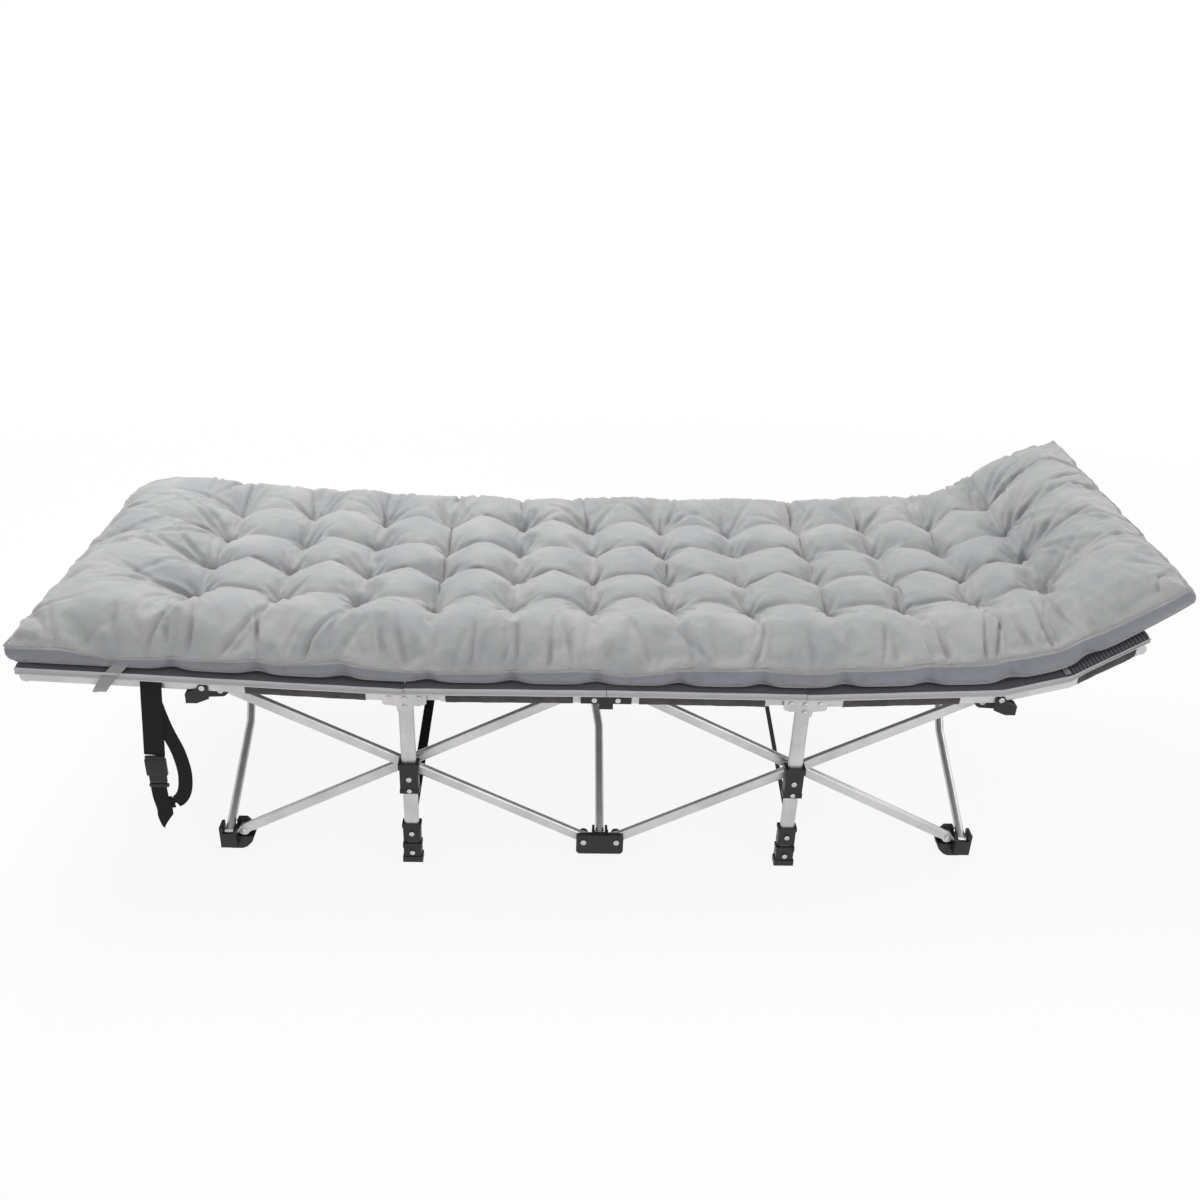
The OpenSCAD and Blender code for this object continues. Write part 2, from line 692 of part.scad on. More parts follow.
module rail_head_far() color(metal) mirror([0, 1, 0]) head_rail();
module collar_foot_near() color(plastic) collar();
module collar_head_near() color(plastic) mirror([1, 0, 0]) collar();
module collar_foot_far() color(plastic) mirror([0, 1, 0]) collar();
module collar_head_far() color(plastic) mirror([0, 1, 0]) mirror([1, 0, 0]) collar();
module leg_foot_near() color(metal) leg();
module leg_head_near() color(metal) mirror([1, 0, 0]) leg();
module leg_foot_far() color(metal) mirror([0, 1, 0]) leg();
module leg_head_far() color(metal) mirror([0, 1, 0]) mirror([1, 0, 0]) leg();
module saddle_foot_near() color(plastic) saddle();
module saddle_head_near() color(plastic) mirror([1, 0, 0]) saddle();
module saddle_foot_far() color(plastic) mirror([0, 1, 0]) saddle();
module saddle_head_far() color(plastic) mirror([0, 1, 0]) mirror([1, 0, 0]) saddle();
module boots_foot_near() color(plastic) boots();
module boots_head_near() color(plastic) mirror([1, 0, 0]) boots();
module boots_foot_far() color(plastic) mirror([0, 1, 0]) boots();
module boots_head_far() color(plastic) mirror([0, 1, 0]) mirror([1, 0, 0]) boots();

module deck_foot() color(cloth) {
    a = leg_x + 2;
    deck_run([[-foot_reach - 12, foot_z], [-a, end_line(a)]]);
    deck_sleeve(-end_x + 46, end_line(end_x - 46), -out_x - 40, end_line(out_x + 40));
}

module deck_midfoot() color(cloth) {
    a = leg_x - 2;
    deck_run([[-a, mid_line(a)], [-1.5, mid_z]]);
    deck_sleeve(-in_x + 44, mid_line(in_x - 44), -mid_pivot - 26, mid_z);
}

module deck_midhead() color(cloth) mirror([1, 0, 0]) {
    a = leg_x - 2;
    deck_run([[-a, mid_line(a)], [-1.5, mid_z]]);
    deck_sleeve(-in_x + 44, mid_line(in_x - 44), -mid_pivot - 26, mid_z);
}

module deck_head() color(cloth) {
    a = leg_x + 2;
    deck_run([[a, end_line(a)], [rail_x, rail_z], [head_bend_x, bend_z], [head_reach + 8, head_z + 5]]);
    deck_sleeve(out_x + 40, end_line(out_x + 40), end_x - 46, end_line(end_x - 46));
}

// underside of the mattress in x and z, and a place at a distance along it with the slope there
function under_line() = let (b = deck_lift + 1) [[-mat_foot, end_line(mat_foot) + b + 1],
    [-leg_x, leg_z + b + 1], [leg_x, leg_z + b + 1], [rail_x - 10, rail_z + b + 1],
    [head_bend_x - 6, bend_z + b + 4], [mat_head, head_z + b + 75]];
function slope(p, q) = atan2(q[1] - p[1], q[0] - p[0]);
function off(p, a, along, up) = [p[0] + along * cos(a) - up * sin(a), p[1] + along * sin(a) + up * cos(a)];
function walk(p, s, i = 0) = let (l = norm(p[i + 1] - p[i]))
    s <= l || i == len(p) - 2 ? [p[i] + (p[i + 1] - p[i]) * s / l, slope(p[i], p[i + 1])]
    : walk(p, s - l, i + 1);

// a cut with this outline in y and height, along one length of the underside
module long_cut(p, q, e0, e1) {
    translate([p[0], 0, p[1]]) rotate([0, -slope(p, q), 0]) translate([-e0, 0, 0]) rotate([90, 0, 90])
        linear_extrude(norm(q - p) + e0 + e1) children();
}

// a valley that opens upwards round the origin
module vee() {
    w = 0.36 * tuft_row * (valley + 50) / valley;
    polygon([[0, mat_t - valley], [w, mat_t + 50], [-w, mat_t + 50]]);
}

// tufted mattress with raised head end, as one soft closed body
module mattress() color(plush) {
    u = under_line();
    n = len(u) - 1;
    half = mat_w / 2;
    k = (mat_t - seam_h) / roll_w;
    foot_a = slope(u[0], u[1]);
    head_a = slope(u[n - 1], u[n]);
    top = [for (i = [1 : n - 1]) off(u[i], (slope(u[i - 1], u[i]) + slope(u[i], u[i + 1])) / 2, 0, mat_t)];
    difference() {
        translate([0, half, 0]) rotate([90, 0, 0]) linear_extrude(mat_w) polygon(concat(u,
            [off(u[n], head_a, 0, seam_h), off(u[n], head_a, -roll_w, mat_t)],
            [for (i = [n - 2 : -1 : 0]) top[i]],
            [off(u[0], foot_a, roll_w, mat_t), off(u[0], foot_a, 0, seam_h)]));
        for (i = [0 : n - 1]) {
            for (m = [0, 1]) mirror([0, m, 0]) long_cut(u[i], u[i + 1], 40, 40)
                polygon([[half + 10, seam_h - 10 * k], [half + 10, mat_t + 50],
                    [half - roll_w - 50 / k, mat_t + 50]]);
            for (j = [0 : tuft_rows - 1])
                long_cut(u[i], u[i + 1], i == 0 ? 60 - tuft_start : 0, i == n - 1 ? -roll_w - 40 : 0)
                    translate([tuft_shift + (j - (tuft_rows - 1) / 2) * tuft_row, 0]) vee();
        }
        for (i = [0 : tuft_lines - 1]) {
            w = walk(u, tuft_start + i * tuft_pitch);
            translate([w[0][0], 0, w[0][1]]) rotate([0, -w[1], 0])
                translate([0, tuft_shift + 1.5 * tuft_row + 60, 0]) rotate([90, 0, 0])
                linear_extrude(3 * tuft_row + 120) vee();
        }
    }
}

// elastic bands that hold the mattress corners under the rails
module corner_bands() color(plush) {
    x = -rail_x - band_reach - band_w / 2;
    for (i = [0, 1]) mirror([0, i, 0]) {
        slab(x, x + band_w, trim_out + 1, trim_out + 2.5, rail_z - 14, rail_z + 30);
        slab(x, x + band_w, leg_in - 2, trim_out + 2.5, rail_z - 15.5, rail_z - 14);
    }
}

// webbing from the lower part of the near leg up to the top of the far one
module cross_strap(x) {
    side = plane + leg_in - 1.3;
    run = 2 * side;
    lift = strap_high - strap_low;
    translate([x, -side, strap_low]) rotate([atan(lift / run), 0, 0])
        translate([-strap_w / 2, 0, -strap_t / 2]) cube([strap_w, norm([run, lift]), strap_t]);
}

module cross_strap_foot() color(webbing) cross_strap(-leg_x);
module cross_strap_head() color(webbing) cross_strap(leg_x);

// tie strap that hangs from the foot end, with its free tail
module carry_strap() color(webbing) {
    x = -rail_x - tie_reach;
    r = tie_w / 2;
    top = rail_z - tie_drop;
    low = top - buckle_h;
    pin(x, trim_out + 1, trim_out + 2.8, rail_z + 4, r);
    slab(x - r, x + r, trim_out + 1, trim_out + 2.8, top + 2, rail_z + 4);
    slab(x - r, x + r, trim_out + 1, trim_out + 2.8, low - tie_tail, low - 2);
}

// side release buckle on the tie strap
module strap_buckle() color(plastic) {
    x = -rail_x - tie_reach;
    r = tie_w / 2 + 5;
    top = rail_z - tie_drop;
    slab(x - r, x + r, trim_out + 0.5, trim_out + 9, top - buckle_h, top);
}

base_foot_near();
base_mid_near();
base_head_near();
base_foot_far();
base_mid_far();
base_head_far();
top_foot_near();
top_mid_near();
top_head_near();
top_foot_far();
top_mid_far();
top_head_far();
arm_foot_front_near();
arm_foot_rear_near();
arm_head_front_near();
arm_head_rear_near();
arm_foot_front_far();
arm_foot_rear_far();
arm_head_front_far();
arm_head_rear_far();
cross_foot_a();
cross_foot_b();
cross_mid_a();
cross_mid_b();
cross_head_a();
cross_head_b();
rail_foot_near();
rail_midfoot_near();
rail_midhead_near();
rail_head_near();
rail_foot_far();
rail_midfoot_far();
rail_midhead_far();
rail_head_far();
collar_foot_near();
collar_head_near();
collar_foot_far();
collar_head_far();
leg_foot_near();
leg_head_near();
leg_foot_far();
leg_head_far();
saddle_foot_near();
saddle_head_near();
saddle_foot_far();
saddle_head_far();
boots_foot_near();
boots_head_near();
boots_foot_far();
boots_head_far();
deck_foot();
deck_midfoot();
deck_midhead();
deck_head();
mattress();
corner_bands();
cross_strap_foot();
cross_strap_head();
carry_strap();
strap_buckle();
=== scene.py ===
"""Looks of a folding camp cot with a tufted mattress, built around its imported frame."""

from __future__ import annotations

import json
import logging
import math
from collections.abc import Callable, Sequence
from dataclasses import dataclass
from enum import Enum
from functools import partialmethod

import bpy
import numpy as np
from mathutils import Matrix, Vector

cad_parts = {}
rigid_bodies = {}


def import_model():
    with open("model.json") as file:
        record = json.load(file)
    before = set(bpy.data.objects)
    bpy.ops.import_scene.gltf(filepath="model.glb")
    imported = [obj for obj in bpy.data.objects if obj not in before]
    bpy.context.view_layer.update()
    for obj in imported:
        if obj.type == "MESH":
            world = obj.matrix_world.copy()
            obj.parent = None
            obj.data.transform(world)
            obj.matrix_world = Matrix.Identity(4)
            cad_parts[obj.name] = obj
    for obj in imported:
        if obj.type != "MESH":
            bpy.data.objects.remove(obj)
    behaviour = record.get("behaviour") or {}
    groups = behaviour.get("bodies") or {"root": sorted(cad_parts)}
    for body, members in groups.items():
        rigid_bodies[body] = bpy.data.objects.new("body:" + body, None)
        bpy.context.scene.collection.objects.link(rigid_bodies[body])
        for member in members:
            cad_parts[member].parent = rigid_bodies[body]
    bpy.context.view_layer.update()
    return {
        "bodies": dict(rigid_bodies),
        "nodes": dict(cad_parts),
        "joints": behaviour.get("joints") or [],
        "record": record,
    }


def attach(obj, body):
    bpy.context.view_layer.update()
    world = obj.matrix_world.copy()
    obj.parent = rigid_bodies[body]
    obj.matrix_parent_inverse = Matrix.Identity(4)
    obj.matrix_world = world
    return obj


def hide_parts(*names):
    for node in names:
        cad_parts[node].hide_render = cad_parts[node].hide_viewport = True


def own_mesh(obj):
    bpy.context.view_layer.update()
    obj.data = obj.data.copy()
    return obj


LOG = logging.getLogger("cot")
Colour = tuple[float, float, float]
Point = tuple[float, float, float]

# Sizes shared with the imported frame, in metres.
PLANE = 0.310  # half the distance between the crossing tubes' pivots
RAIL_X, RAIL_Z = 0.674, 0.372  # end hinge of an end rail
LEG_X, LEG_Z = 0.340, 0.357
MID_Z = 0.359
BRACKET = 0.025  # from a leg to the rivets of its bracket
RAIL_MID = 0.020  # from the middle to a middle rail's hinge
FOOT_X = 0.974
BEND = (0.786, 0.403)  # where the head rails turn upwards
HEAD = (0.901, 0.477)
DECK_LIFT = 0.022  # height of the cloth above the rails' centre line
RIBBON = 0.012  # height of the bound edge


class Slot(str, Enum):
    """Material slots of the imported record."""

    TUBE = "silver_tube"
    PLASTIC = "black_plastic"
    DECK = "deck_fabric"
    PLUSH = "plush_fabric"
    WEBBING = "webbing"


# ---------------------------------------------------------------- shader tools


class Sig:
    """A shader value that Python's operators work on."""

    def __init__(self, shade: Shade, out: bpy.types.NodeSocket) -> None:
        """Wraps one output socket.

        Args:
            shade: the node builder that the socket belongs to.
            out: the output socket.
        """
        self.shade, self.out = shade, out

    def _math(self, operation: str, other: Sig | float, swap: bool = False) -> Sig:
        """Adds one Math node.

        Args:
            operation: the node's operation.
            other: the second value.
            swap: puts the other value first.

        Returns:
            The node's result.
        """
        pair = (other, self) if swap else (self, other)
        node = self.shade.node("ShaderNodeMath", {"operation": operation}, {0: pair[0], 1: pair[1]})
        return Sig(self.shade, node.outputs[0])

    __add__ = __radd__ = partialmethod(_math, "ADD")
    __sub__ = partialmethod(_math, "SUBTRACT")
    __rsub__ = partialmethod(_math, "SUBTRACT", swap=True)
    __mul__ = __rmul__ = partialmethod(_math, "MULTIPLY")
    __pow__ = partialmethod(_math, "POWER")
    sine = partialmethod(_math, "SINE", 0.0)  # of radians
    absolute = partialmethod(_math, "ABSOLUTE", 0.0)

    def step(self, low: float, high: float) -> Sig:
        """Smooth step from 0 below low to 1 above high."""
        node = self.shade.node(
            "ShaderNodeMapRange",
            {"interpolation_type": "SMOOTHSTEP", "clamp": True},
            {"Value": self, "From Min": low, "From Max": high, "To Min": 0.0, "To Max": 1.0},
        )
        return Sig(self.shade, node.outputs["Result"])


class Shade:
    """Builds one material's nodes."""

    def __init__(self, name: str) -> None:
        """Makes an empty material with a Principled shader.

        Args:
            name: the material's name.
        """
        self.material = bpy.data.materials.new(name)
        self.material.use_nodes = True
        self.tree = self.material.node_tree
        self.tree.nodes.clear()
        self.surface = self.node("ShaderNodeBsdfPrincipled")
        output = self.node("ShaderNodeOutputMaterial")
        self.tree.links.new(self.surface.outputs[0], output.inputs[0])

    def node(
        self,
        kind: str,
        settings: dict[str, object] | None = None,
        inputs: dict[int | str, object] | None = None,
    ) -> bpy.types.Node:
        """Adds one node.

        Args:
            kind: the node's type.
            settings: attributes, or a ramp's stops under "stops", set before the inputs.
            inputs: a value, socket or Sig for each input, by name or number.

        Returns:
            The new node.
        """
        node = self.tree.nodes.new(kind)
        for key, value in (settings or {}).items():
            if key == "stops":
                ramp = node.color_ramp
                for index, (place, colour) in enumerate(value):
                    stop = ramp.elements[index] if index < 2 else ramp.elements.new(place)
                    stop.position, stop.color = place, (*colour, 1.0)
            else:
                setattr(node, key, value)
        for key, value in (inputs or {}).items():
            self.plug(node.inputs[key], value)
        return node

    def plug(self, socket: bpy.types.NodeSocket, value: object) -> None:
        """Links an input to a Sig or a socket, or sets its value."""
        if isinstance(value, Sig):
            value = value.out
        if isinstance(value, bpy.types.NodeSocket):
            self.tree.links.new(value, socket)
        else:
            socket.default_value = value

    def place(self, scale: Point = (1, 1, 1), turn: Point = (0, 0, 0)) -> bpy.types.NodeSocket:
        """Object coordinates, stretched and turned.

        Args:
            scale: factor along each axis.
            turn: rotation in radians.

        Returns:
            The vector socket.
        """
        coords = self.node("ShaderNodeTexCoord")
        mapping = self.node(
            "ShaderNodeMapping",
            inputs={"Vector": coords.outputs["Object"], "Scale": scale, "Rotation": turn},
        )
        return mapping.outputs[0]

    def axes(self, source: bpy.types.NodeSocket) -> tuple[Sig, Sig, Sig]:
        """The three parts of a vector."""
        node = self.node("ShaderNodeSeparateXYZ", inputs={0: source})
        return tuple(Sig(self, out) for out in node.outputs)

    def uv(self, name: str) -> bpy.types.NodeSocket:
        """The coordinates of a piece's own UV map."""
        return self.node("ShaderNodeUVMap", {"uv_map": name}).outputs[0]

    def noise(
        self,
        scale: float,
        detail: float = 3.0,
        rough: float = 0.55,
        at: bpy.types.NodeSocket | None = None,
    ) -> Sig:
        """A noise value round 0.5.

        Args:
            scale: cells a metre.
            detail: number of octaves.
            rough: strength of the finer octaves.
            at: coordinates, or None for the object's own.

        Returns:
            The noise.
        """
        node = self.node(
            "ShaderNodeTexNoise",
            inputs={
                "Vector": at or self.place(),
                "Scale": scale,
                "Detail": detail,
                "Roughness": rough,
            },
        )
        return Sig(self, node.outputs["Fac"])

    def attribute(self, name: str) -> Sig:
        """A value stored on the mesh's points."""
        node = self.node("ShaderNodeAttribute", {"attribute_name": name})
        return Sig(self, node.outputs["Fac"])

    def blend(self, factor: Sig | float, a: object, b: object) -> bpy.types.NodeSocket:
        """Mixes two colours.

        Args:
            factor: share of the second colour.
            a: first colour.
            b: second colour.

        Returns:
            The mixed colour.
        """
        as_input = [(*c, 1.0) if isinstance(c, tuple) else c for c in (a, b)]
        node = self.node(
            "ShaderNodeMix",
            {"data_type": "RGBA", "clamp_factor": True},
            {0: factor, 6: as_input[0], 7: as_input[1]},
        )
        return node.outputs[2]

    def dress(
        self,
        colour: object,
        roughness: Sig | float,
        bump: Sig | None = None,
        depth: float = 0.001,
        **fixed: float,
    ) -> bpy.types.Material:
        """Sets the shader's inputs.

        Args:
            colour: base colour or its socket.
            roughness: roughness or its value.
            bump: height that the surface is bumped by.
            depth: size of that height in metres.
            **fixed: other inputs that are the same all over, with _ for a space.

        Returns:
            The material.
        """
        slots = self.surface.inputs
        for key, value in (("Base Color", colour), ("Roughness", roughness)):
            self.plug(slots[key], (*value, 1.0) if isinstance(value, tuple) else value)
        for key, value in fixed.items():
            slots[key.replace("_", " ")].default_value = value
        if bump is not None:
            node = self.node(
                "ShaderNodeBump", inputs={"Strength": 1.0, "Distance": depth, "Height": bump}
            )
            self.tree.links.new(node.outputs[0], slots["Normal"])
        return self.material


# ---------------------------------------------------------------- finishes


@dataclass(frozen=True)
class SilverPaint:
    """Satin silver powder coat on tube and plate."""

    light: Colour = (0.62, 0.605, 0.60)
    dark: Colour = (0.50, 0.49, 0.49)
    grain: float = 900.0

    def make(self) -> bpy.types.Material:
        """Builds the material."""
        shade = Shade("silver_paint")
        cloud = shade.noise(14.0, 4.0)
        speck = shade.noise(self.grain, 2.0)
        rub = shade.noise(120.0, 5.0, 0.7).step(0.62, 0.78)
        colour = shade.blend(cloud.step(0.35, 0.7), self.light, self.dark)
        colour = shade.blend(rub * 0.35, colour, (0.72, 0.71, 0.70))
        return shade.dress(
            colour, 0.27 + cloud * 0.12 - rub * 0.05, speck + cloud * 0.3, 0.00004, Metallic=0.72
        )


@dataclass(frozen=True)
class MouldedPlastic:
    """Matt black moulded plastic with a fine spark-eroded grain."""

    name: str = "moulded_plastic"
    tone: Colour = (0.020, 0.0185, 0.017)
    scuffed: Colour = (0.065, 0.06, 0.055)
    rough: float = 0.42

    def make(self) -> bpy.types.Material:
        """Builds the material."""
        shade = Shade(self.name)
        grain = shade.noise(1500.0, 2.0)
        scuff = shade.noise(70.0, 5.0, 0.7).step(0.58, 0.75)
        colour = shade.blend(scuff * 0.5, self.tone, self.scuffed)
        return shade.dress(
            colour, self.rough + scuff * 0.2, grain, 0.00008, Specular_IOR_Level=0.32
        )


@dataclass(frozen=True)
class Plush:
    """Short-pile plush of the mattress, with its smooth side panels and navy underside."""

    # lit and shaded copies of the plush: painted sheen and painted shade of the nap
    light: Colour = (0.425, 0.427, 0.428)
    shaded: Colour = (0.325, 0.332, 0.342)
    side: Colour = (0.215, 0.222, 0.25)
    under: Colour = (0.028, 0.034, 0.075)

    def make(self) -> bpy.types.Material:
        """Builds the material."""
        shade = Shade("plush")
        nap = shade.noise(9.0, 5.0, 0.6)
        brush = shade.noise(26.0, 5.0, 0.65, shade.place((1.0, 2.4, 1.0), (0, 0, 0.5)))
        pile = shade.noise(1300.0, 3.0, 0.7)
        tuft = shade.noise(330.0, 2.0, 0.6)
        # nap streaks where the brushed pile lies one way or the other: partly the pile's own tone,
        # partly painted sheen and painted shade, lit colour against shaded colour
        nap_sheen_streak = (nap * 0.6 + brush * 0.4).step(0.36, 0.66)
        colour = shade.blend(nap_sheen_streak, self.shaded, self.light)
        colour = shade.blend(pile.step(0.3, 0.75) * 0.22, colour, (0.56, 0.58, 0.59))
        weave = shade.noise(900.0, 1.0)
        side = shade.blend(weave * 0.3, self.side, (0.29, 0.30, 0.33))
        below = shade.attribute("under").step(0.4, 0.6)
        edge = shade.attribute("side").step(0.35, 0.6)
        colour = shade.blend(edge, colour, side)
        colour = shade.blend(below, colour, self.under)
        height = pile * (1.0 - edge) + tuft * 0.6 * (1.0 - edge) + weave * edge * 0.3
        return shade.dress(
            colour, 0.86, height, 0.0006, Sheen_Weight=0.35, Sheen_Roughness=0.4
        )


@dataclass(frozen=True)
class DeckMesh:
    """Dark warp-knit mesh of the deck, and its ribbed head panel."""

    dark: Colour = (0.055, 0.055, 0.066)
    light: Colour = (0.19, 0.19, 0.21)
    pitch: float = 0.0062
    rib: float = 0.0075

    def make(self) -> bpy.types.Material:
        """Builds the material."""
        shade = Shade("deck_mesh")
        x, y, z = shade.axes(shade.place())
        wave = 2 * math.pi / self.pitch
        holes = (x * wave).sine() * ((y + z * 0.8) * wave).sine()
        cells = holes.step(-0.1, 0.4)
        ribs = ((x + z * 0.7) * (2 * math.pi / self.rib)).sine().step(-0.4, 0.5)
        head = x.step(BEND[0] - 0.004, BEND[0])
        pattern = cells * (1.0 - head) + ribs * head
        fibre = shade.noise(1200.0, 2.0)
        colour = shade.blend(pattern * 0.8 + fibre * 0.2, self.dark, self.light)
        return shade.dress(colour, 0.78, pattern + fibre * 0.3, 0.0007, Sheen_Weight=0.15)


@dataclass(frozen=True)
class Ribbon:
    """Herringbone ribbon or webbing along its own UV map.

    With a width, the middle between its two welts is darker.
    """

    name: str
    light: Colour
    dark: Colour
    rib: float = 0.0026
    rough: float = 0.7
    sheen: float = 0.2
    gloss: float = 0.4
    width: float = 0.0

    def make(self) -> bpy.types.Material:
        """Builds the material."""
        shade = Shade(self.name)
        u, v, _ = shade.axes(shade.uv("Flat"))
        row = ((v * (math.pi / (2 * self.rib))).sine()).absolute()
        twill = ((u + row * self.rib) * (2 * math.pi / self.rib)).sine().step(-0.5, 0.5)
        thread = shade.noise(1600.0, 2.0)
        colour = shade.blend(twill * 0.75 + thread * 0.25, self.dark, self.light)
        if self.width:
            middle = (v - self.width / 2).absolute().step(self.width * 0.24, self.width * 0.34)
            colour = shade.blend((1.0 - middle) * 0.45, colour, self.dark)
        return shade.dress(
            colour,
            self.rough,
            twill + thread * 0.4,
            0.00035,
            Sheen_Weight=self.sheen,
            Specular_IOR_Level=self.gloss,
        )


@dataclass(frozen=True)
class PlainCloth:
    """Coated plain-weave cloth of the rail sleeves."""

    name: str
    tone: Colour
    light: Colour
    thread: float = 0.0011

    def make(self) -> bpy.types.Material:
        """Builds the material."""
        shade = Shade(self.name)
        x, y, z = shade.axes(shade.place())
        wave = 2 * math.pi / self.thread
        weave = (x * wave).sine() * ((y + z) * wave).sine()
        crease = shade.noise(40.0, 4.0, 0.6)
        colour = shade.blend(crease.step(0.35, 0.7), self.tone, self.light)
        return shade.dress(colour, 0.6, weave * 0.3 + crease * 2.0, 0.0005)


@dataclass(frozen=True)
class Floor:
    """Pale studio floor that keeps a soft shadow and turns white farther out."""

    tone: float = 0.80
    glow: float = 0.90
    near: float = 1.3
    far: float = 2.6

    def make(self) -> bpy.types.Material:
        """Builds the material."""
        shade = Shade("studio_floor")
        x, y, _ = shade.axes(shade.place((0.62, 1.0, 1.0)))
        distance = (x * x + y * y) ** 0.5
        grain = shade.noise(30.0, 2.0)
        colour = shade.blend(grain * 0.1, (self.tone,) * 3, (self.tone * 0.97,) * 3)
        material = shade.dress(colour, 0.9)
        white = shade.node("ShaderNodeEmission", inputs={"Color": (1, 1, 1, 1), "Strength": 1.0})
        share = self.glow + (1 - self.glow) * distance.step(self.near, self.far)
        mix = shade.node(
            "ShaderNodeMixShader",
            inputs={0: share, 1: shade.surface.outputs[0], 2: white.outputs[0]},
        )
        output = next(node for node in shade.tree.nodes if node.type == "OUTPUT_MATERIAL")
        shade.tree.links.new(mix.outputs[0], output.inputs[0])
        return material


class Finishes:
    """Every material, made once."""

    def __init__(self) -> None:
        """Builds the materials."""
        self.tube = SilverPaint().make()
        self.plastic = MouldedPlastic().make()
        self.plush = Plush().make()
        self.mesh = DeckMesh().make()
        self.trim = Ribbon(
            "edge_ribbon", (0.74, 0.72, 0.735), (0.33, 0.32, 0.34), width=RIBBON
        ).make()
        self.webbing = Ribbon(
            "webbing", (0.015, 0.014, 0.013), (0.005, 0.005, 0.005), sheen=0.03, gloss=0.15
        ).make()
        self.elastic = Ribbon("elastic", (0.36, 0.355, 0.35), (0.25, 0.247, 0.245)).make()
        self.sleeve = PlainCloth(
            "sleeve_cloth", (0.030, 0.026, 0.024), (0.060, 0.054, 0.050)
        ).make()
        self.buckle = MouldedPlastic("buckle_plastic", (0.014, 0.014, 0.015), rough=0.33).make()


# ---------------------------------------------------------------- modelling tools


def deselect() -> None:
    """Leaves object mode with nothing selected."""
    if bpy.context.object and bpy.context.object.mode != "OBJECT":
        bpy.ops.object.mode_set(mode="OBJECT")
    bpy.ops.object.select_all(action="DESELECT")


def activate(*pieces: bpy.types.Object) -> None:
    """Selects these pieces and makes the first one active."""
    deselect()
    for piece in pieces:
        piece.select_set(True)
    bpy.context.view_layer.objects.active = pieces[0]


def coordinates(piece: bpy.types.Object) -> np.ndarray:
    """A mesh's points as an array of rows."""
    flat = np.zeros(len(piece.data.vertices) * 3)
    piece.data.vertices.foreach_get("co", flat)
    return flat.reshape(-1, 3)


def move_points(piece: bpy.types.Object, points: np.ndarray) -> None:
    """Gives a mesh new places for its points."""
    piece.data.vertices.foreach_set("co", np.asarray(points, float).ravel())
    piece.data.update()


def modify(piece: bpy.types.Object, kind: str, **settings: object) -> None:
    """Adds a modifier to a piece and applies it.

    Args:
        piece: the mesh object.
        kind: the modifier's type.
        **settings: its settings.
    """
    activate(piece)
    modifier = piece.modifiers.new(kind.title(), kind)
    for key, value in settings.items():
        setattr(modifier, key, value)
    if kind == "SUBSURF":
        modifier.render_levels = modifier.levels
    bpy.ops.object.modifier_apply(modifier=modifier.name)


def tidy_normals(piece: bpy.types.Object, merge: float = 1e-6) -> None:
    """Merges doubled points and turns the faces outwards."""
    activate(piece)
    bpy.ops.object.mode_set(mode="EDIT")
    bpy.ops.mesh.select_all(action="SELECT")
    bpy.ops.mesh.remove_doubles(threshold=merge)
    bpy.ops.mesh.normals_make_consistent(inside=False)
    bpy.ops.object.mode_set(mode="OBJECT")


def smooth(piece: bpy.types.Object, angle: float = 40.0) -> None:
    """Smooth shading up to an angle in degrees."""
    activate(piece)
    bpy.ops.object.shade_smooth_by_angle(angle=math.radians(angle))


def settle(piece: bpy.types.Object) -> None:
    """Applies a piece's place, turn and scale to its mesh."""
    activate(piece)
    bpy.ops.object.transform_apply(location=True, rotation=True, scale=True)


def join(name: str, pieces: Sequence[bpy.types.Object]) -> bpy.types.Object:
    """Joins pieces into one.

    Args:
        name: the new piece's name.
        pieces: what is joined.

    Returns:
        The joined piece.
    """
    activate(*pieces)
    if len(pieces) > 1:
        bpy.ops.object.join()
    piece = bpy.context.object
    piece.name = piece.data.name = name
    return piece


def surface(
    name: str,
    along: int,
    across: int,
    shape: Callable[[np.ndarray, np.ndarray], np.ndarray],
    thickness: float = 0.0,
    flat: tuple[float, float] = (1.0, 1.0),
    offset: float = 0.0,
) -> bpy.types.Object:
    """Shapes a grid into a sheet.

    Args:
        name: the piece's name.
        along: faces in the first direction.
        across: faces in the second direction.
        shape: gives the places for arrays of u and v, both from 0 to 1.
        thickness: wall that is added, or 0 for none.
        flat: length and width of the sheet, for its UV map in metres.
        offset: side of the surface that the wall is added on, from -1 to 1.

    Returns:
        The piece.
    """
    deselect()
    bpy.ops.mesh.primitive_grid_add(x_subdivisions=along, y_subdivisions=across, size=1.0)
    piece = bpy.context.object
    piece.name = piece.data.name = name
    uv = coordinates(piece)[:, :2] + 0.5
    layer = piece.data.uv_layers.active or piece.data.uv_layers.new()
    layer.name = "Flat"
    corners = np.zeros(len(piece.data.loops), int)
    piece.data.loops.foreach_get("vertex_index", corners)
    layer.data.foreach_set("uv", (uv[corners] * np.array(flat)).astype(np.float32).ravel())
    move_points(piece, shape(uv[:, 0], uv[:, 1]))
    tidy_normals(piece, 1e-7)
    if thickness:
        modify(piece, "SOLIDIFY", thickness=thickness, offset=offset)
    smooth(piece)
    return piece


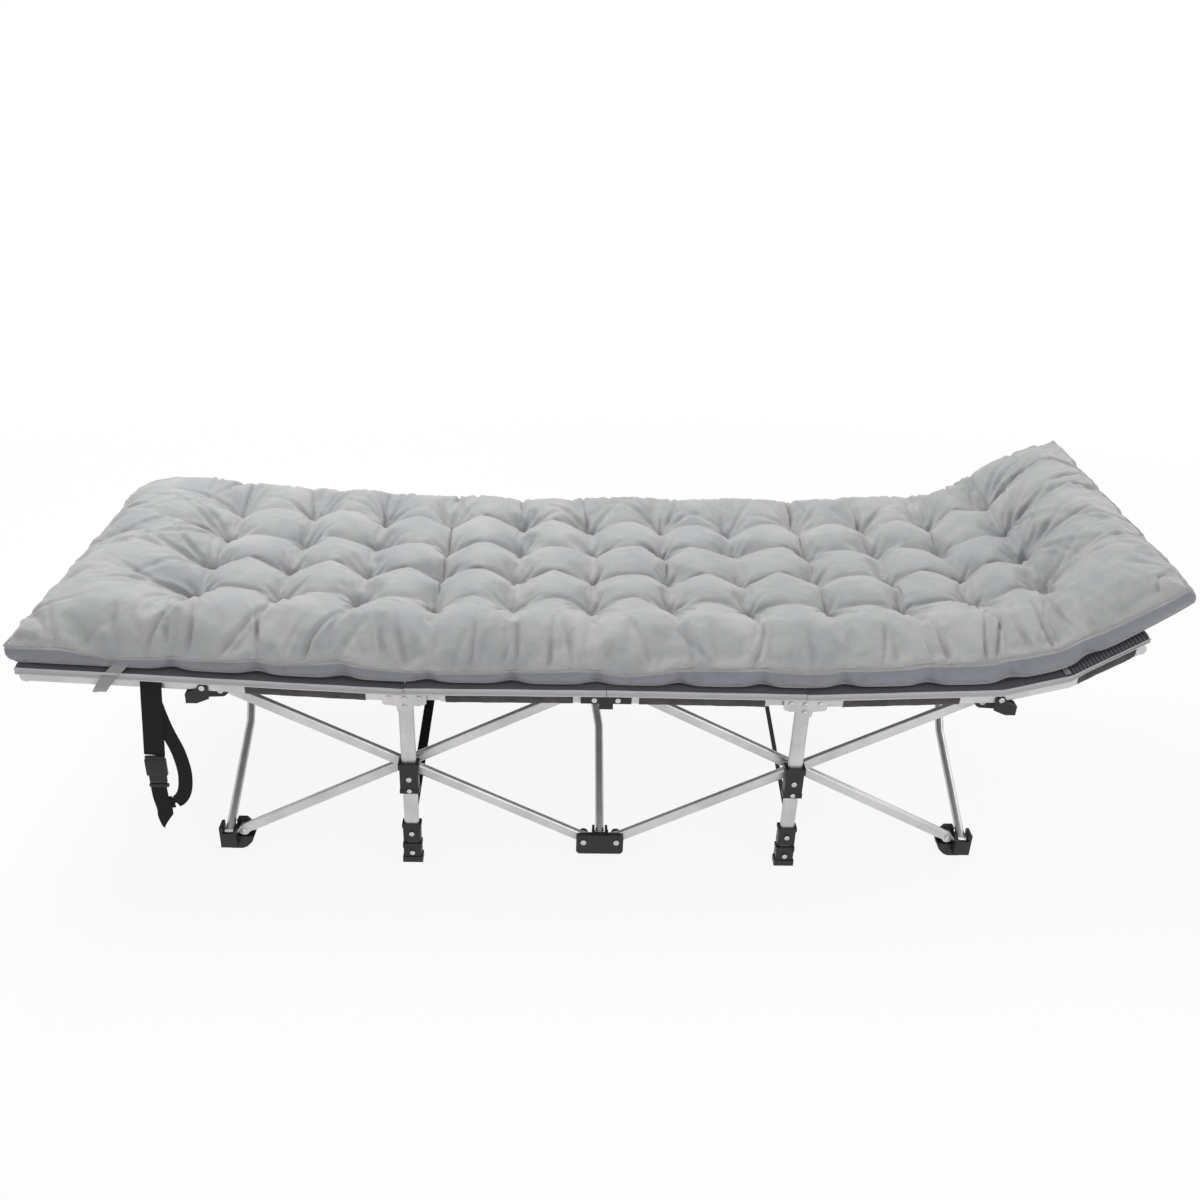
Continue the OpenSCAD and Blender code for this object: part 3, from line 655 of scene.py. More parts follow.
def closed_cord(name: str, points: np.ndarray, radius: float) -> bpy.types.Object:
    """A round cord through points and back to the first, as a mesh.

    Args:
        name: the piece's name.
        points: rows of places.
        radius: half its thickness.

    Returns:
        The piece.
    """
    deselect()
    curve = bpy.data.curves.new(name, "CURVE")
    curve.dimensions, curve.bevel_depth, curve.bevel_resolution = "3D", radius, 2
    curve.resolution_u, curve.use_fill_caps = 1, False
    spline = curve.splines.new("POLY")
    spline.points.add(len(points) - 1)
    spline.points.foreach_set("co", np.c_[points, np.ones(len(points))].ravel())
    spline.use_cyclic_u = True
    piece = bpy.data.objects.new(name, curve)
    bpy.context.scene.collection.objects.link(piece)
    activate(piece)
    bpy.ops.object.convert(target="MESH")
    piece = bpy.context.object
    bpy.ops.object.shade_smooth()
    return piece


def length_of(points: Sequence[Sequence[float]]) -> float:
    """Length of a line through points."""
    return sum(math.dist(a, b) for a, b in zip(points, points[1:]))


def between(u: np.ndarray, places: np.ndarray, rows: np.ndarray) -> np.ndarray:
    """Rows at u, from rows at places, each column by itself."""
    return np.c_[tuple(np.interp(u, places, column) for column in rows.T)]


def polyline(points: Sequence[Sequence[float]]) -> Callable[[np.ndarray], np.ndarray]:
    """A line through points, by its share of the length.

    Args:
        points: the corners, in two or three dimensions.

    Returns:
        A function from shares to rows of coordinates.
    """
    corners = np.array(points, float)
    run = np.r_[0, np.cumsum(np.linalg.norm(np.diff(corners, axis=0), axis=1))]
    return lambda share: between(share * run[-1], run, corners)


def welts(v: np.ndarray, inset: float, width: float) -> np.ndarray:
    """A round ridge along each edge of a ribbon."""
    return np.exp(-(((v - inset) / width) ** 2)) + np.exp(-(((v - 1 + inset) / width) ** 2))


def wear(piece: bpy.types.Object, material: bpy.types.Material) -> None:
    """Gives a piece its material."""
    piece.data.materials.clear()
    piece.data.materials.append(material)


# ---------------------------------------------------------------- camera and studio


@dataclass
class Studio:
    """Camera, floor and lamps."""

    eye: Point = (-0.08426, -2.02941, 1.42199)
    yaw: float = 0.0402642
    pitch: float = 0.4788586
    roll: float = 0.0365872
    lens: float = 35.1826
    ambient: float = 0.50

    def camera(self) -> None:
        """Places the camera."""
        forward = Vector(
            (
                math.sin(self.yaw) * math.cos(self.pitch),
                math.cos(self.yaw) * math.cos(self.pitch),
                -math.sin(self.pitch),
            )
        )
        right = Vector((math.cos(self.yaw), -math.sin(self.yaw), 0))
        up = right.cross(forward)
        side = math.cos(self.roll) * right + math.sin(self.roll) * up
        top = math.cos(self.roll) * up - math.sin(self.roll) * right
        data = bpy.data.cameras.new("camera")
        data.lens, data.sensor_width, data.clip_start = self.lens, 36.0, 0.05
        camera = bpy.data.objects.new("camera", data)
        bpy.context.scene.collection.objects.link(camera)
        turn = Matrix((side, top, -forward)).transposed().to_4x4()
        camera.matrix_world = Matrix.Translation(self.eye) @ turn
        bpy.context.scene.camera = camera

    def world(self) -> None:
        """Even pale light that is white where it is seen or mirrored."""
        world = bpy.data.worlds.new("studio")
        bpy.context.scene.world = world
        world.use_nodes = True
        nodes, links = world.node_tree.nodes, world.node_tree.links
        path = nodes.new("ShaderNodeLightPath")
        total = None
        for ray in ("Is Camera Ray", "Is Glossy Ray", "Is Transmission Ray"):
            if total is None:
                total = path.outputs[ray]
                continue
            larger = nodes.new("ShaderNodeMath")
            larger.operation = "MAXIMUM"
            links.new(total, larger.inputs[0])
            links.new(path.outputs[ray], larger.inputs[1])
            total = larger.outputs[0]
        level = nodes.new("ShaderNodeMapRange")
        level.inputs["To Min"].default_value = self.ambient
        level.inputs["To Max"].default_value = 1.0
        links.new(total, level.inputs["Value"])
        sky = nodes["Background"]
        sky.inputs["Color"].default_value = (1, 1, 1, 1)
        links.new(level.outputs["Result"], sky.inputs["Strength"])

    def lamp(self, name: str, at: Point, size: float, power: float) -> None:
        """A square lamp that faces the cot.

        Args:
            name: the lamp's name.
            at: its place.
            size: its side.
            power: its strength in watts.
        """
        data = bpy.data.lights.new(name, "AREA")
        data.size, data.energy = size, power
        lamp = bpy.data.objects.new(name, data)
        bpy.context.scene.collection.objects.link(lamp)
        lamp.location = at
        lamp.rotation_euler = (Vector((0, 0, 0.3)) - Vector(at)).to_track_quat("-Z", "Y").to_euler()

    def build(self) -> None:
        """Builds the studio."""
        self.world()
        deselect()
        bpy.ops.mesh.primitive_plane_add(size=40.0, location=(0, 0, -0.0005))
        floor = bpy.context.object
        floor.name = "floor"
        floor.data.materials.append(Floor().make())
        self.lamp("lamp_key", (-1.2, 1.1, 2.9), 1.8, 72.0)
        self.lamp("lamp_fill", (1.6, -2.6, 1.6), 2.2, 20.0)
        self.lamp("lamp_side", (2.6, 0.9, 2.2), 1.6, 20.0)


# ---------------------------------------------------------------- frame


@dataclass
class Frame:
    """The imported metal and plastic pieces, and their rivets."""

    finishes: Finishes

    def dress(self, nodes: dict[str, bpy.types.Object]) -> None:
        """Gives every rigid node its finish.

        Args:
            nodes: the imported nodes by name.
        """
        metal = ("arm_", "rail_", "leg_", "cross_foot", "cross_mid", "cross_head")
        black = ("base_", "top_", "collar_", "saddle_", "boots_")
        for name, node in nodes.items():
            if name.startswith(black):
                wear(node, self.finishes.plastic)
            elif name.startswith(metal):
                wear(node, self.finishes.tube)
            LOG.info("dressed %s", name)

    def dome(self, x: float, depth: float, z: float, side: int, radius: float) -> bpy.types.Object:
        """One domed rivet head with a hollow centre.

        Args:
            x: its place along the cot.
            depth: how far its seat lies outside the crossing tubes' plane.
            z: its height.
            side: -1 near, 1 far.
            radius: its radius.

        Returns:
            The head.
        """
        deselect()
        bpy.ops.mesh.primitive_cylinder_add(
            vertices=24, radius=radius, depth=0.0012, rotation=(math.pi / 2, 0, 0)
        )
        head = bpy.context.object
        settle(head)
        bpy.ops.object.mode_set(mode="EDIT")
        bpy.ops.mesh.select_all(action="DESELECT")
        bpy.ops.object.mode_set(mode="OBJECT")
        for face in head.data.polygons:
            face.select = face.normal.y * side > 0.9
        bpy.ops.object.mode_set(mode="EDIT")
        bpy.ops.mesh.inset(thickness=radius * 0.3, depth=0.0007)
        bpy.ops.mesh.inset(thickness=radius * 0.28, depth=0.0003)
        bpy.ops.mesh.inset(thickness=radius * 0.08, depth=-0.0007)
        bpy.ops.object.mode_set(mode="OBJECT")
        move_points(head, coordinates(head) + np.array((x, side * (PLANE + depth), z)))
        smooth(head, 50)
        return head

    def rivets(self) -> None:
        """Adds the rivet heads, one group to a body."""
        for side, tag in ((-1, "near"), (1, "far")):
            for end, half in ((-1, "foot"), (1, "head")):
                leg, collar = f"leg_{half}_{tag}", f"collar_{half}_{tag}"
                x = end * LEG_X
                groups = {
                    collar: [(x, 0.0342, 0.184, 0.0048), (x, 0.0346, 0.160, 0.0042)],
                    leg: [
                        (x - BRACKET, 0.0432, LEG_Z, 0.0046),
                        (x + BRACKET, 0.0432, LEG_Z, 0.0046),
                        (x, 0.0432, LEG_Z - 0.001, 0.0046),
                        (x, 0.0432, LEG_Z - 0.017, 0.0046),
                        (x, 0.0332, 0.064, 0.0046),
                        (x, 0.0342, 0.022, 0.0046),
                    ],
                    f"arm_{half}_front_{tag}": [
                        (end * 0.650, 0.0237, 0.356, 0.0052),
                        (end * 0.030, 0.0227, 0.040, 0.0052),
                    ],
                    f"arm_{half}_rear_{tag}": [(end * 0.650, -0.0003, 0.040, 0.0052)],
                    f"rail_{half}_{tag}": [(end * RAIL_X, 0.0432, RAIL_Z, 0.0048)],
                }
                for body, places in groups.items():
                    heads = [self.dome(px, d, pz, side, r) for px, d, pz, r in places]
                    piece = join(f"rivets_{body}", heads)
                    wear(piece, self.finishes.tube)
                    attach(piece, body)
                    LOG.info("rivets on %s: %d", body, len(places))


# ---------------------------------------------------------------- deck


@dataclass
class DeckPanel:
    """One panel of the deck with its bound edges and rail sleeves."""

    finishes: Finishes
    node: str
    body: str
    line: tuple[tuple[float, float], ...]
    sleeve_lines: tuple[tuple[tuple[float, float], tuple[float, float]], ...]
    sag: float = 0.002
    edge: float = 0.3530
    rail_top: float = 0.338  # beyond this the cloth turns down over the rail
    turn_down: float = 0.0045
    binding_width: float = 0.009

    def sheet(self) -> bpy.types.Object:
        """The mesh sheet, laid over the rails."""
        path, length = polyline(self.line), length_of(self.line)

        def shape(u: np.ndarray, v: np.ndarray) -> np.ndarray:
            """Sags between the ends and turns down past the rails."""
            at = path(u)
            y = (v - 0.5) * 2 * self.edge
            drop = self.sag * (1 - (y / self.edge) ** 2) * np.sin(np.pi * u) ** 0.5
            over = np.clip((np.abs(y) - self.rail_top) / (self.edge - self.rail_top), 0, 1)
            z = at[:, 1] + DECK_LIFT - 0.0008 - drop - self.turn_down * over**2
            return np.c_[at[:, 0], y, z]

        piece = surface(
            self.node.replace("deck", "deck_cloth"),
            max(10, int(length / 0.012)),
            74,
            shape,
            0.0012,
            (length, 2 * self.edge),
        )
        wear(piece, self.finishes.mesh)
        return piece

    def trim(self) -> bpy.types.Object:
        """The bound edges: a ribbon between two welts, on both sides."""
        path, length = polyline(self.line), length_of(self.line)
        made = []
        for side in (-1, 1):

            def shape(u: np.ndarray, v: np.ndarray, side: int = side) -> np.ndarray:
                """Stands upright on the cloth's edge, narrower on the raised head."""
                at = path(u)
                bulge = 0.0020 * welts(v, 0.12, 0.09)
                tall = RIBBON * (1 - 0.45 * np.clip((at[:, 0] - BEND[0]) / 0.02, 0, 1))
                wave = 0.0005 * np.sin(at[:, 0] * 62 + 1.7 * np.sin(at[:, 0] * 17))
                y = side * (self.edge - 0.0006 + bulge + wave)
                z = at[:, 1] + DECK_LIFT - 0.0015 - tall * (1 - v) + wave
                return np.c_[at[:, 0], y, z]

            faces = max(8, int(length / 0.006))
            made.append(surface("trim", faces, 14, shape, 0.0016, (length, RIBBON)))
        if self.line[-1] == HEAD:
            made.append(self.binding())
        piece = join(self.node.replace("deck", "deck_trim"), made)
        wear(piece, self.finishes.trim)
        return piece

    def binding(self) -> bpy.types.Object:
        """The ribbon that joins the mesh to the ribbed head panel, across the cot."""
        width = self.binding_width
        rise = math.atan2(BEND[1] - RAIL_Z, BEND[0] - RAIL_X)

        def shape(u: np.ndarray, v: np.ndarray) -> np.ndarray:
            """Lies on the cloth with a ridge along both of its edges."""
            run = 0.002 + width * v
            y = (u - 0.5) * 2 * (self.edge - 0.004)
            z = BEND[1] - run * math.sin(rise) + DECK_LIFT + 0.0004 + 0.0007 * welts(v, 0.2, 0.12)
            return np.c_[BEND[0] - run * math.cos(rise), y, z]

        return surface("binding", 100, 8, shape, 0.0010, (2 * self.edge, width))

    def sleeve(
        self, side: int, start: tuple[float, float], stop: tuple[float, float]
    ) -> bpy.types.Object:
        """One cloth tube round a rail.

        Args:
            side: -1 near, 1 far.
            start: where it begins, along the cot and up.
            stop: where it ends.

        Returns:
            The tube.
        """
        (x0, z0), (x1, z1) = start, stop
        run = abs(x1 - x0)

        def shape(u: np.ndarray, v: np.ndarray) -> np.ndarray:
            """A flattened tube with small creases across it."""
            turn = v * 2 * np.pi
            x = x0 + (x1 - x0) * u
            z = z0 + (z1 - z0) * u
            crease = 0.0006 * np.sin(x * 95 + 3 * np.sin(turn)) + 0.0004 * np.sin(x * 240)
            wide = 0.0086 + crease
            tall = np.where(np.cos(turn) > 0, 0.0150, 0.0122)
            flattened = np.sign(np.sin(turn)) * np.abs(np.sin(turn)) ** 0.6
            y = side * (PLANE + 0.0305 + wide * flattened)
            return np.c_[x, y, z + tall * np.cos(turn) + 0.001]

        return surface("sleeve", max(8, int(run / 0.005)), 28, shape, 0.0009, (run, 0.06), -1)

    def sleeves(self) -> bpy.types.Object:
        """Cloth tubes round the rails."""
        made = [self.sleeve(side, *line) for line in self.sleeve_lines for side in (-1, 1)]
        piece = join(self.node.replace("deck", "rail_sleeves"), made)
        wear(piece, self.finishes.sleeve)
        return piece

    def build(self) -> None:
        """Builds the panel and hides the solid that it stands for."""
        sheet = self.sheet()
        pieces = [sheet, self.trim(), self.sleeves()]
        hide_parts(self.node)
        for piece in pieces:
            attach(piece, self.body)
            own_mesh(piece)
            LOG.info("deck piece %s", piece.name)


# ---------------------------------------------------------------- mattress


@dataclass
class Mattress:
    """Tufted mattress with side panels and a raised head end."""

    finishes: Finishes
    columns: tuple[float, ...] = (
        -0.725, -0.584, -0.442, -0.301, -0.160, -0.018, 0.123, 0.264, 0.405, 0.547, 0.688, 0.829,
    )
    rows: tuple[float, ...] = (-0.155, -0.045, 0.075, 0.195)
    foot: float = -0.986
    head: float = 1.026
    half: float = 0.341
    cell: float = 0.0072
    side_height: float = 0.024
    rings: int = 4
    crown: float = 0.076
    tuft: float = 0.030
    jitter: float = 0.005  # unevenness of the tufts
    dimple: float = 0.030  # size of the dip round a tuft
    roll: float = 0.095  # width of the rolled border
    bulge: float = 0.006  # of the side panels between the tufts
    pull: float = 0.009  # of the tufts on the lower seam
    seam_pull: float = 0.003
    corner_tuck: tuple[float, float] = (0.006, 0.008)  # near head corner
    rays: int = 7  # folds round a tuft
    ray: tuple[float, float, float] = (0.0038, 0.0040, 0.006)  # half width, depth, start
    gather: tuple[float, float, float] = (0.0048, 0.0052, 0.012)
    seam_gap: float = 0.045  # between folds along the seam
    pressure: float = 4.0
    growth: float = -0.08
    cap: float = 0.030
    frames: int = 20
    stiffness: float = 18.0
    seed: int = 11
    seam_rise: tuple[tuple[float, float], ...] = (
        (-0.986, 0.008), (-0.90, 0.010), (-0.82, -0.005), (-0.70, 0.0), (-0.60, 0.004),
        (-0.543, 0.001), (-0.452, 0.010), (-0.378, 0.002), (-0.287, -0.003), (-0.17, 0.0),
        (-0.05, 0.008), (0.035, -0.003), (0.089, 0.005), (0.172, 0.014), (0.24, 0.014),
        (0.35, 0.009), (0.46, 0.014), (0.59, 0.021), (0.74, 0.022), (1.026, 0.008),
    )

    def blank(self) -> bpy.types.Object:
        """A closed slab of small faces: grid, then side panels by extrusion."""
        deselect()
        along = int((self.head - self.foot) / self.cell)
        across = int(2 * self.half / self.cell)
        bpy.ops.mesh.primitive_grid_add(x_subdivisions=along, y_subdivisions=across, size=1.0)
        slab = bpy.context.object
        slab.name = slab.data.name = "mattress_cover"
        bpy.ops.object.mode_set(mode="EDIT")
        bpy.ops.mesh.select_all(action="SELECT")
        for _ in range(self.rings):
            bpy.ops.mesh.extrude_region_move(TRANSFORM_OT_translate={"value": (0, 0, 1.0)})
        bpy.ops.mesh.select_all(action="SELECT")
        bpy.ops.mesh.normals_make_consistent(inside=False)
        bpy.ops.object.mode_set(mode="OBJECT")
        # the same order of faces and edges in each run, so that the cloth swells the same way
        faces = []
        for face in slab.data.polygons:
            loop = list(face.vertices)
            first = loop.index(min(loop))
            faces.append(loop[first:] + loop[:first])
        places = coordinates(slab).tolist()
        slab.data.clear_geometry()
        slab.data.from_pydata(places, [], sorted(faces))
        slab.data.update(calc_edges=True)
        return slab

    def tufts(self) -> np.ndarray:
        """Places of the tufts on the flat mattress, a little uneven."""
        random = np.random.default_rng(self.seed)
        grid = [(s, y) for s in self.columns for y in self.rows]
        return np.array(grid) + random.uniform(-self.jitter, self.jitter, (len(grid), 2))

    def cell_wave(
        self, value: np.ndarray, marks: tuple[float, ...], fade: float = 0.080
    ) -> tuple[np.ndarray, np.ndarray]:
        """How far a place lies from the lines of tufts in one direction.

        Args:
            value: places in that direction.
            marks: where the lines are.
            fade: distance beyond the last line at which the border is full.

        Returns:
            0 on a line and 1 between lines, and the distance outside the outer lines.
        """
        edges = np.array(marks)
        place = np.clip(np.searchsorted(edges, value) - 1, 0, len(edges) - 2)
        share = (value - edges[place]) / (edges[place + 1] - edges[place])
        out = np.maximum(np.maximum(edges[0] - value, value - edges[-1]), 0)
        inside = np.sin(np.pi * np.clip(share, 0, 1))
        return np.where(out > 0, np.sin(np.pi / 2 * np.clip(out / fade, 0, 1)), inside), out

    def height(self, s: np.ndarray, y: np.ndarray) -> np.ndarray:
        """Height of the cover above the underside, before it is blown up.

        Args:
            s: distance along the mattress.
            y: distance across it.

        Returns:
            The heights.
        """
        ridge = np.ones_like(s)
        for at_s, at_y in self.tufts():
            far = np.hypot(s - at_s, y - at_y)
            ridge *= 1 - np.exp(-((far / self.dimple) ** 1.25))
        wave_s, out_s = self.cell_wave(s, self.columns)
        wave_y, out_y = self.cell_wave(y, self.rows)
        wave_s = wave_s + (1 - wave_s) * np.clip((out_y - 0.03) / 0.09, 0, 1)
        wave_y = wave_y + (1 - wave_y) * np.clip((out_s - 0.03) / 0.12, 0, 1)
        dome = (wave_s * wave_y) ** 0.4
        full = ridge * (0.56 + 0.44 * dome)
        swing = 1 + 0.05 * np.sin(s * 23.0 + 2.0 * y) + 0.05 * np.sin(y * 31.0 - 5.0 * s)
        return self.tuft + (self.crown - self.tuft) * full * swing

    def creases(self, s: np.ndarray, y: np.ndarray) -> np.ndarray:
        """Height of the folds that run out from the tufts and in from the seam.

        Args:
            s: distance along the mattress.
            y: distance across it.

        Returns:
            Heights to be added, mostly below zero.
        """
        random = np.random.default_rng(self.seed + 1)
        total = np.zeros_like(s)

        def fold(
            at: tuple[float, float],
            turn: float,
            reach: float,
            width: float,
            depth: float,
            start: float,
        ) -> None:
            """Adds one groove with raised sides, that starts at a place and fades out.

            Args:
                at: where it starts, along and across.
                turn: its direction in radians.
                reach: how far it runs.
                width: half its width.
                depth: how deep it is.
                start: distance in which it reaches that depth.
            """
            ds, dy = s - at[0], y - at[1]
            near = np.nonzero(np.hypot(ds, dy) < 2.2 * reach)[0]
            ds, dy = ds[near], dy[near]
            run = ds * math.cos(turn) + dy * math.sin(turn)
            curl = random.uniform(-4, 4) * run**2
            off = np.abs(dy * math.cos(turn) - ds * math.sin(turn) + curl) / width
            line = np.exp(-(off**2)) - 0.4 * np.exp(-((off - 1.9) ** 2))
            ahead = np.clip(run, 0, None)
            share = (1 - np.exp(-ahead / start)) * np.exp(-((ahead / reach) ** 2))
            total[near] -= depth * line * share

        for at_s, at_y in self.tufts():
            out_s = (at_s > self.columns[-1] - 0.02) * 1.0 - (at_s < self.columns[0] + 0.02)
            out_y = (at_y > self.rows[-1] - 0.02) * 1.0 - (at_y < self.rows[0] + 0.02)
            first = random.uniform(0, 2 * np.pi)
            for ray in range(self.rays):
                turn = first + ray * 2 * np.pi / self.rays + random.uniform(-0.25, 0.25)
                reach = random.uniform(0.026, 0.050)
                fold((at_s, at_y), turn, reach, *self.ray)
            if out_s or out_y:
                outward = math.atan2(out_y, out_s)
                for turn in np.linspace(-1.0, 1.0, self.rays):
                    lean = outward + turn + random.uniform(-0.12, 0.12)
                    reach = random.uniform(0.06, 0.15) if out_s else random.uniform(0.04, 0.09)
                    fold((at_s, at_y), lean, reach, *self.gather)
        corners = ((self.foot, -self.half), (self.head, -self.half), (self.head, self.half))
        corners += ((self.foot, self.half), (self.foot, -self.half))
        for (s0, y0), (s1, y1) in zip(corners, corners[1:]):
            count = int(math.dist((s0, y0), (s1, y1)) / self.seam_gap)
            inward = math.atan2(y1 - y0, s1 - s0) + math.pi / 2
            for share in (np.arange(count) + random.uniform(0.1, 0.9, count)) / count:
                at = (s0 + (s1 - s0) * share, y0 + (y1 - y0) * share)
                strong = random.uniform(0.2, 1.0) ** 1.5
                lean = inward + random.uniform(-0.7, 0.7)
                depth = 0.0018 + 0.0055 * strong
                fold(at, lean, 0.035 + 0.065 * strong, 0.0046, depth, 0.008)
        return total

    def border(self, s: np.ndarray, y: np.ndarray) -> tuple[np.ndarray, np.ndarray]:
        """Distance from the nearest side, and the distance from the long sides."""
        across = self.half - np.abs(y)
        return np.minimum.reduce([s - self.foot, self.head - s, across]), across

    def scallop(self, place: np.ndarray, marks: tuple[float, ...]) -> np.ndarray:
        """How strongly the side is drawn in at each line of tufts, from 0 to 1."""
        near = np.min(np.abs(place[:, None] - np.array(marks)[None, :]), axis=1)
        return np.exp(-((near / 0.016) ** 1.4))

    def lay_out(self, slab: bpy.types.Object) -> tuple[np.ndarray, np.ndarray]:
        """Gives the slab its first, flat shape.

        Args:
            slab: the closed slab.

        Returns:
            Which side ring each point belongs to, and the flat places.
        """
        points = coordinates(slab)
        ring = points[:, 2].copy()
        share = ring / self.rings
        s = self.foot + (points[:, 0] + 0.5) * (self.head - self.foot)
        y = points[:, 1] * 2 * self.half
        flat = np.c_[s, y]
        border, across = self.border(s, y)
        near = np.clip(border / self.roll, 0, 1)
        roll = (near * (2 - near)) ** 0.8
        corner = np.exp(-np.hypot(s - self.foot, self.half - np.abs(y)) / 0.10)
        seam = self.side_height + np.interp(s, *zip(*self.seam_rise))
        top = seam * (1 - roll) + self.height(s, y) * roll
        height = np.where(ring > self.rings - 0.5, top, np.where(share > 0, share * seam, 0.0))
        drawn = np.where(
            across < border + 1e-9, self.scallop(s, self.columns), self.scallop(y, self.rows)
        )
        rim = border < 1e-6
        bulge = self.bulge * np.sin(np.pi * np.clip(share, 0, 1)) * (1 - 0.8 * drawn)
        pull = -self.pull * drawn * (1 - share) - self.seam_pull * drawn
        outward = np.where(rim, bulge + pull, 0.0)
        s = s + np.where(rim & (np.abs(flat[:, 0] - self.foot) < 1e-6), -outward, 0)
        s = s + np.where(rim & (np.abs(flat[:, 0] - self.head) < 1e-6), outward, 0)
        long_rim = rim & (np.abs(np.abs(flat[:, 1]) - self.half) < 1e-6)
        y = y + np.where(long_rim, outward, 0) * np.sign(y)
        s = s + (0.012 - 0.016 * share) * corner
        s = s + (0.002 + 0.010 * y / self.half) * np.clip((flat[:, 0] - 0.70) / 0.30, 0, 1)
        tucked = np.exp(-np.hypot(self.head - flat[:, 0], self.half + flat[:, 1]) / 0.055)
        s, y = s - self.corner_tuck[0] * tucked, y + self.corner_tuck[1] * tucked
        height = np.where((ring < 0.5) & rim, 0.004 + 0.004 * drawn, height)
        move_points(slab, np.c_[s, y, height])
        return ring, flat

    def swell(self, slab: bpy.types.Object, ring: np.ndarray, flat: np.ndarray) -> None:
        """Blows the cover up as cloth between its tufts, and applies the result.

        Args:
            slab: the laid-out slab.
            ring: each point's side ring.
            flat: each point's flat place.
        """
        before = coordinates(slab)
        marks = self.tufts()
        near = np.min(np.linalg.norm(flat[:, None, :] - marks[None], axis=2), axis=1)
        seam = self.border(flat[:, 0], flat[:, 1])[0] < 1e-6
        held = (near < 0.008) | (ring < 0.5) | (seam & (ring > self.rings - 0.5))
        group = slab.vertex_groups.new(name="held")
        group.add([int(index) for index in np.nonzero(held)[0]], 1.0, "REPLACE")
        activate(slab)
        cloth = slab.modifiers.new("Cloth", "CLOTH")
        for key, value in (
            ("quality", 5), ("mass", 0.25), ("vertex_group_mass", "held"), ("use_pressure", True),
            ("uniform_pressure_force", self.pressure), ("shrink_min", self.growth),
            ("tension_stiffness", self.stiffness), ("compression_stiffness", self.stiffness),
            ("shear_stiffness", 6.0), ("bending_stiffness", 0.3),
        ):
            setattr(cloth.settings, key, value)
        cloth.settings.effector_weights.gravity = 0.0
        cloth.collision_settings.use_collision = False
        scene = bpy.context.scene
        for frame in range(1, self.frames + 1):
            scene.frame_set(frame)
        bpy.ops.object.modifier_apply(modifier=cloth.name)
        scene.frame_set(1)
        moved = coordinates(slab) - before
        size = np.linalg.norm(moved, axis=1, keepdims=True)
        moved *= np.where(size > self.cap, self.cap / np.maximum(size, 1e-9), 1.0)
        move_points(slab, before + moved)

    def spine(self) -> Callable[[np.ndarray], tuple[np.ndarray, np.ndarray]]:
        """The line that the mattress's underside lies along.

        Returns:
            A function from distances along the mattress to places and slopes.
        """
        lift = DECK_LIFT + 0.001
        foot_z = RAIL_Z + (0.962 - RAIL_X) * 15 / 309
        start = -0.990
        corners = [
            (start, foot_z + lift), (-LEG_X, LEG_Z + lift + 0.001), (LEG_X, LEG_Z + lift + 0.001),
            (RAIL_X - 0.01, RAIL_Z + lift), (BEND[0] - 0.006, BEND[1] + lift + 0.002),
            (0.985, 0.564), (1.20, 0.711),
        ]
        slopes = [math.atan2(b[1] - a[1], b[0] - a[0]) for a, b in zip(corners, corners[1:])]
        starts = np.cumsum([start] + [math.dist(a, b) for a, b in zip(corners, corners[1:])])[:-1]
        fine = np.linspace(-1.2, 1.3, 5001)
        angle = np.array(slopes)[np.clip(np.searchsorted(starts, fine) - 1, 0, len(slopes) - 1)]
        width = 120
        window = np.hanning(2 * width + 1)
        angle = np.convolve(np.pad(angle, width, mode="edge"), window / window.sum(), mode="valid")
        step = fine[1] - fine[0]
        x = np.cumsum(np.cos(angle)) * step
        z = np.cumsum(np.sin(angle)) * step
        x += start - np.interp(start, fine, x)
        z += corners[0][1] - np.interp(start, fine, z)

        def at(s: np.ndarray) -> tuple[np.ndarray, np.ndarray]:
            """Places and slopes at distances along the mattress."""
            return between(s, fine, np.c_[x, z]), np.interp(s, fine, angle)

        return at

    def bend(self, points: np.ndarray) -> np.ndarray:
        """Bends flat places along the deck."""
        at, slope = self.spine()(points[:, 0])
        return np.c_[
            at[:, 0] - np.sin(slope) * points[:, 2],
            points[:, 1],
            at[:, 1] + np.cos(slope) * points[:, 2],
        ]

    def rim(self, ring: np.ndarray, flat: np.ndarray, level: int) -> np.ndarray:
        """The points of one seam, in order round the mattress.

        Args:
            ring: each point's side ring.
            flat: each point's flat place.
            level: the ring that the seam is on.

        Returns:
            Their numbers.
        """
        on_rim = (
            (np.abs(np.abs(flat[:, 1]) - self.half) < 1e-6)
            | (np.abs(flat[:, 0] - self.foot) < 1e-6)
            | (np.abs(flat[:, 0] - self.head) < 1e-6)
        )
        index = np.nonzero(np.isclose(ring, level) & on_rim)[0]
        away = flat[index] - np.array(((self.foot + self.head) / 2, 0))
        square = away / np.array(((self.head - self.foot) / 2, self.half))
        square /= np.abs(square).max(axis=1)[:, None]
        x, y = square.T
        long_side = np.where(y < 0, x, 4 - x)
        short_side = np.where(x > 0, 2 + y, 6 - y)
        return index[np.argsort(np.where(np.abs(y) >= 0.999999, long_side, short_side))]

    def fold_in(self, slab: bpy.types.Object) -> None:
        """Presses the folds into the top, along the surface's own normals."""
        stored = {}
        for name in ("top", "flat_s", "flat_y"):
            stored[name] = np.zeros(len(slab.data.vertices), np.float32)
            slab.data.attributes[name].data.foreach_get("value", stored[name])
        normals = np.zeros(len(slab.data.vertices) * 3)
        slab.data.vertices.foreach_get("normal", normals)
        top = stored["top"] > 0.95
        depth = np.zeros(len(top))
        depth[top] = self.creases(
            stored["flat_s"][top].astype(float), stored["flat_y"][top].astype(float)
        )
        move_points(slab, coordinates(slab) + normals.reshape(-1, 3) * depth[:, None])
        for name in stored:
            slab.data.attributes.remove(slab.data.attributes[name])

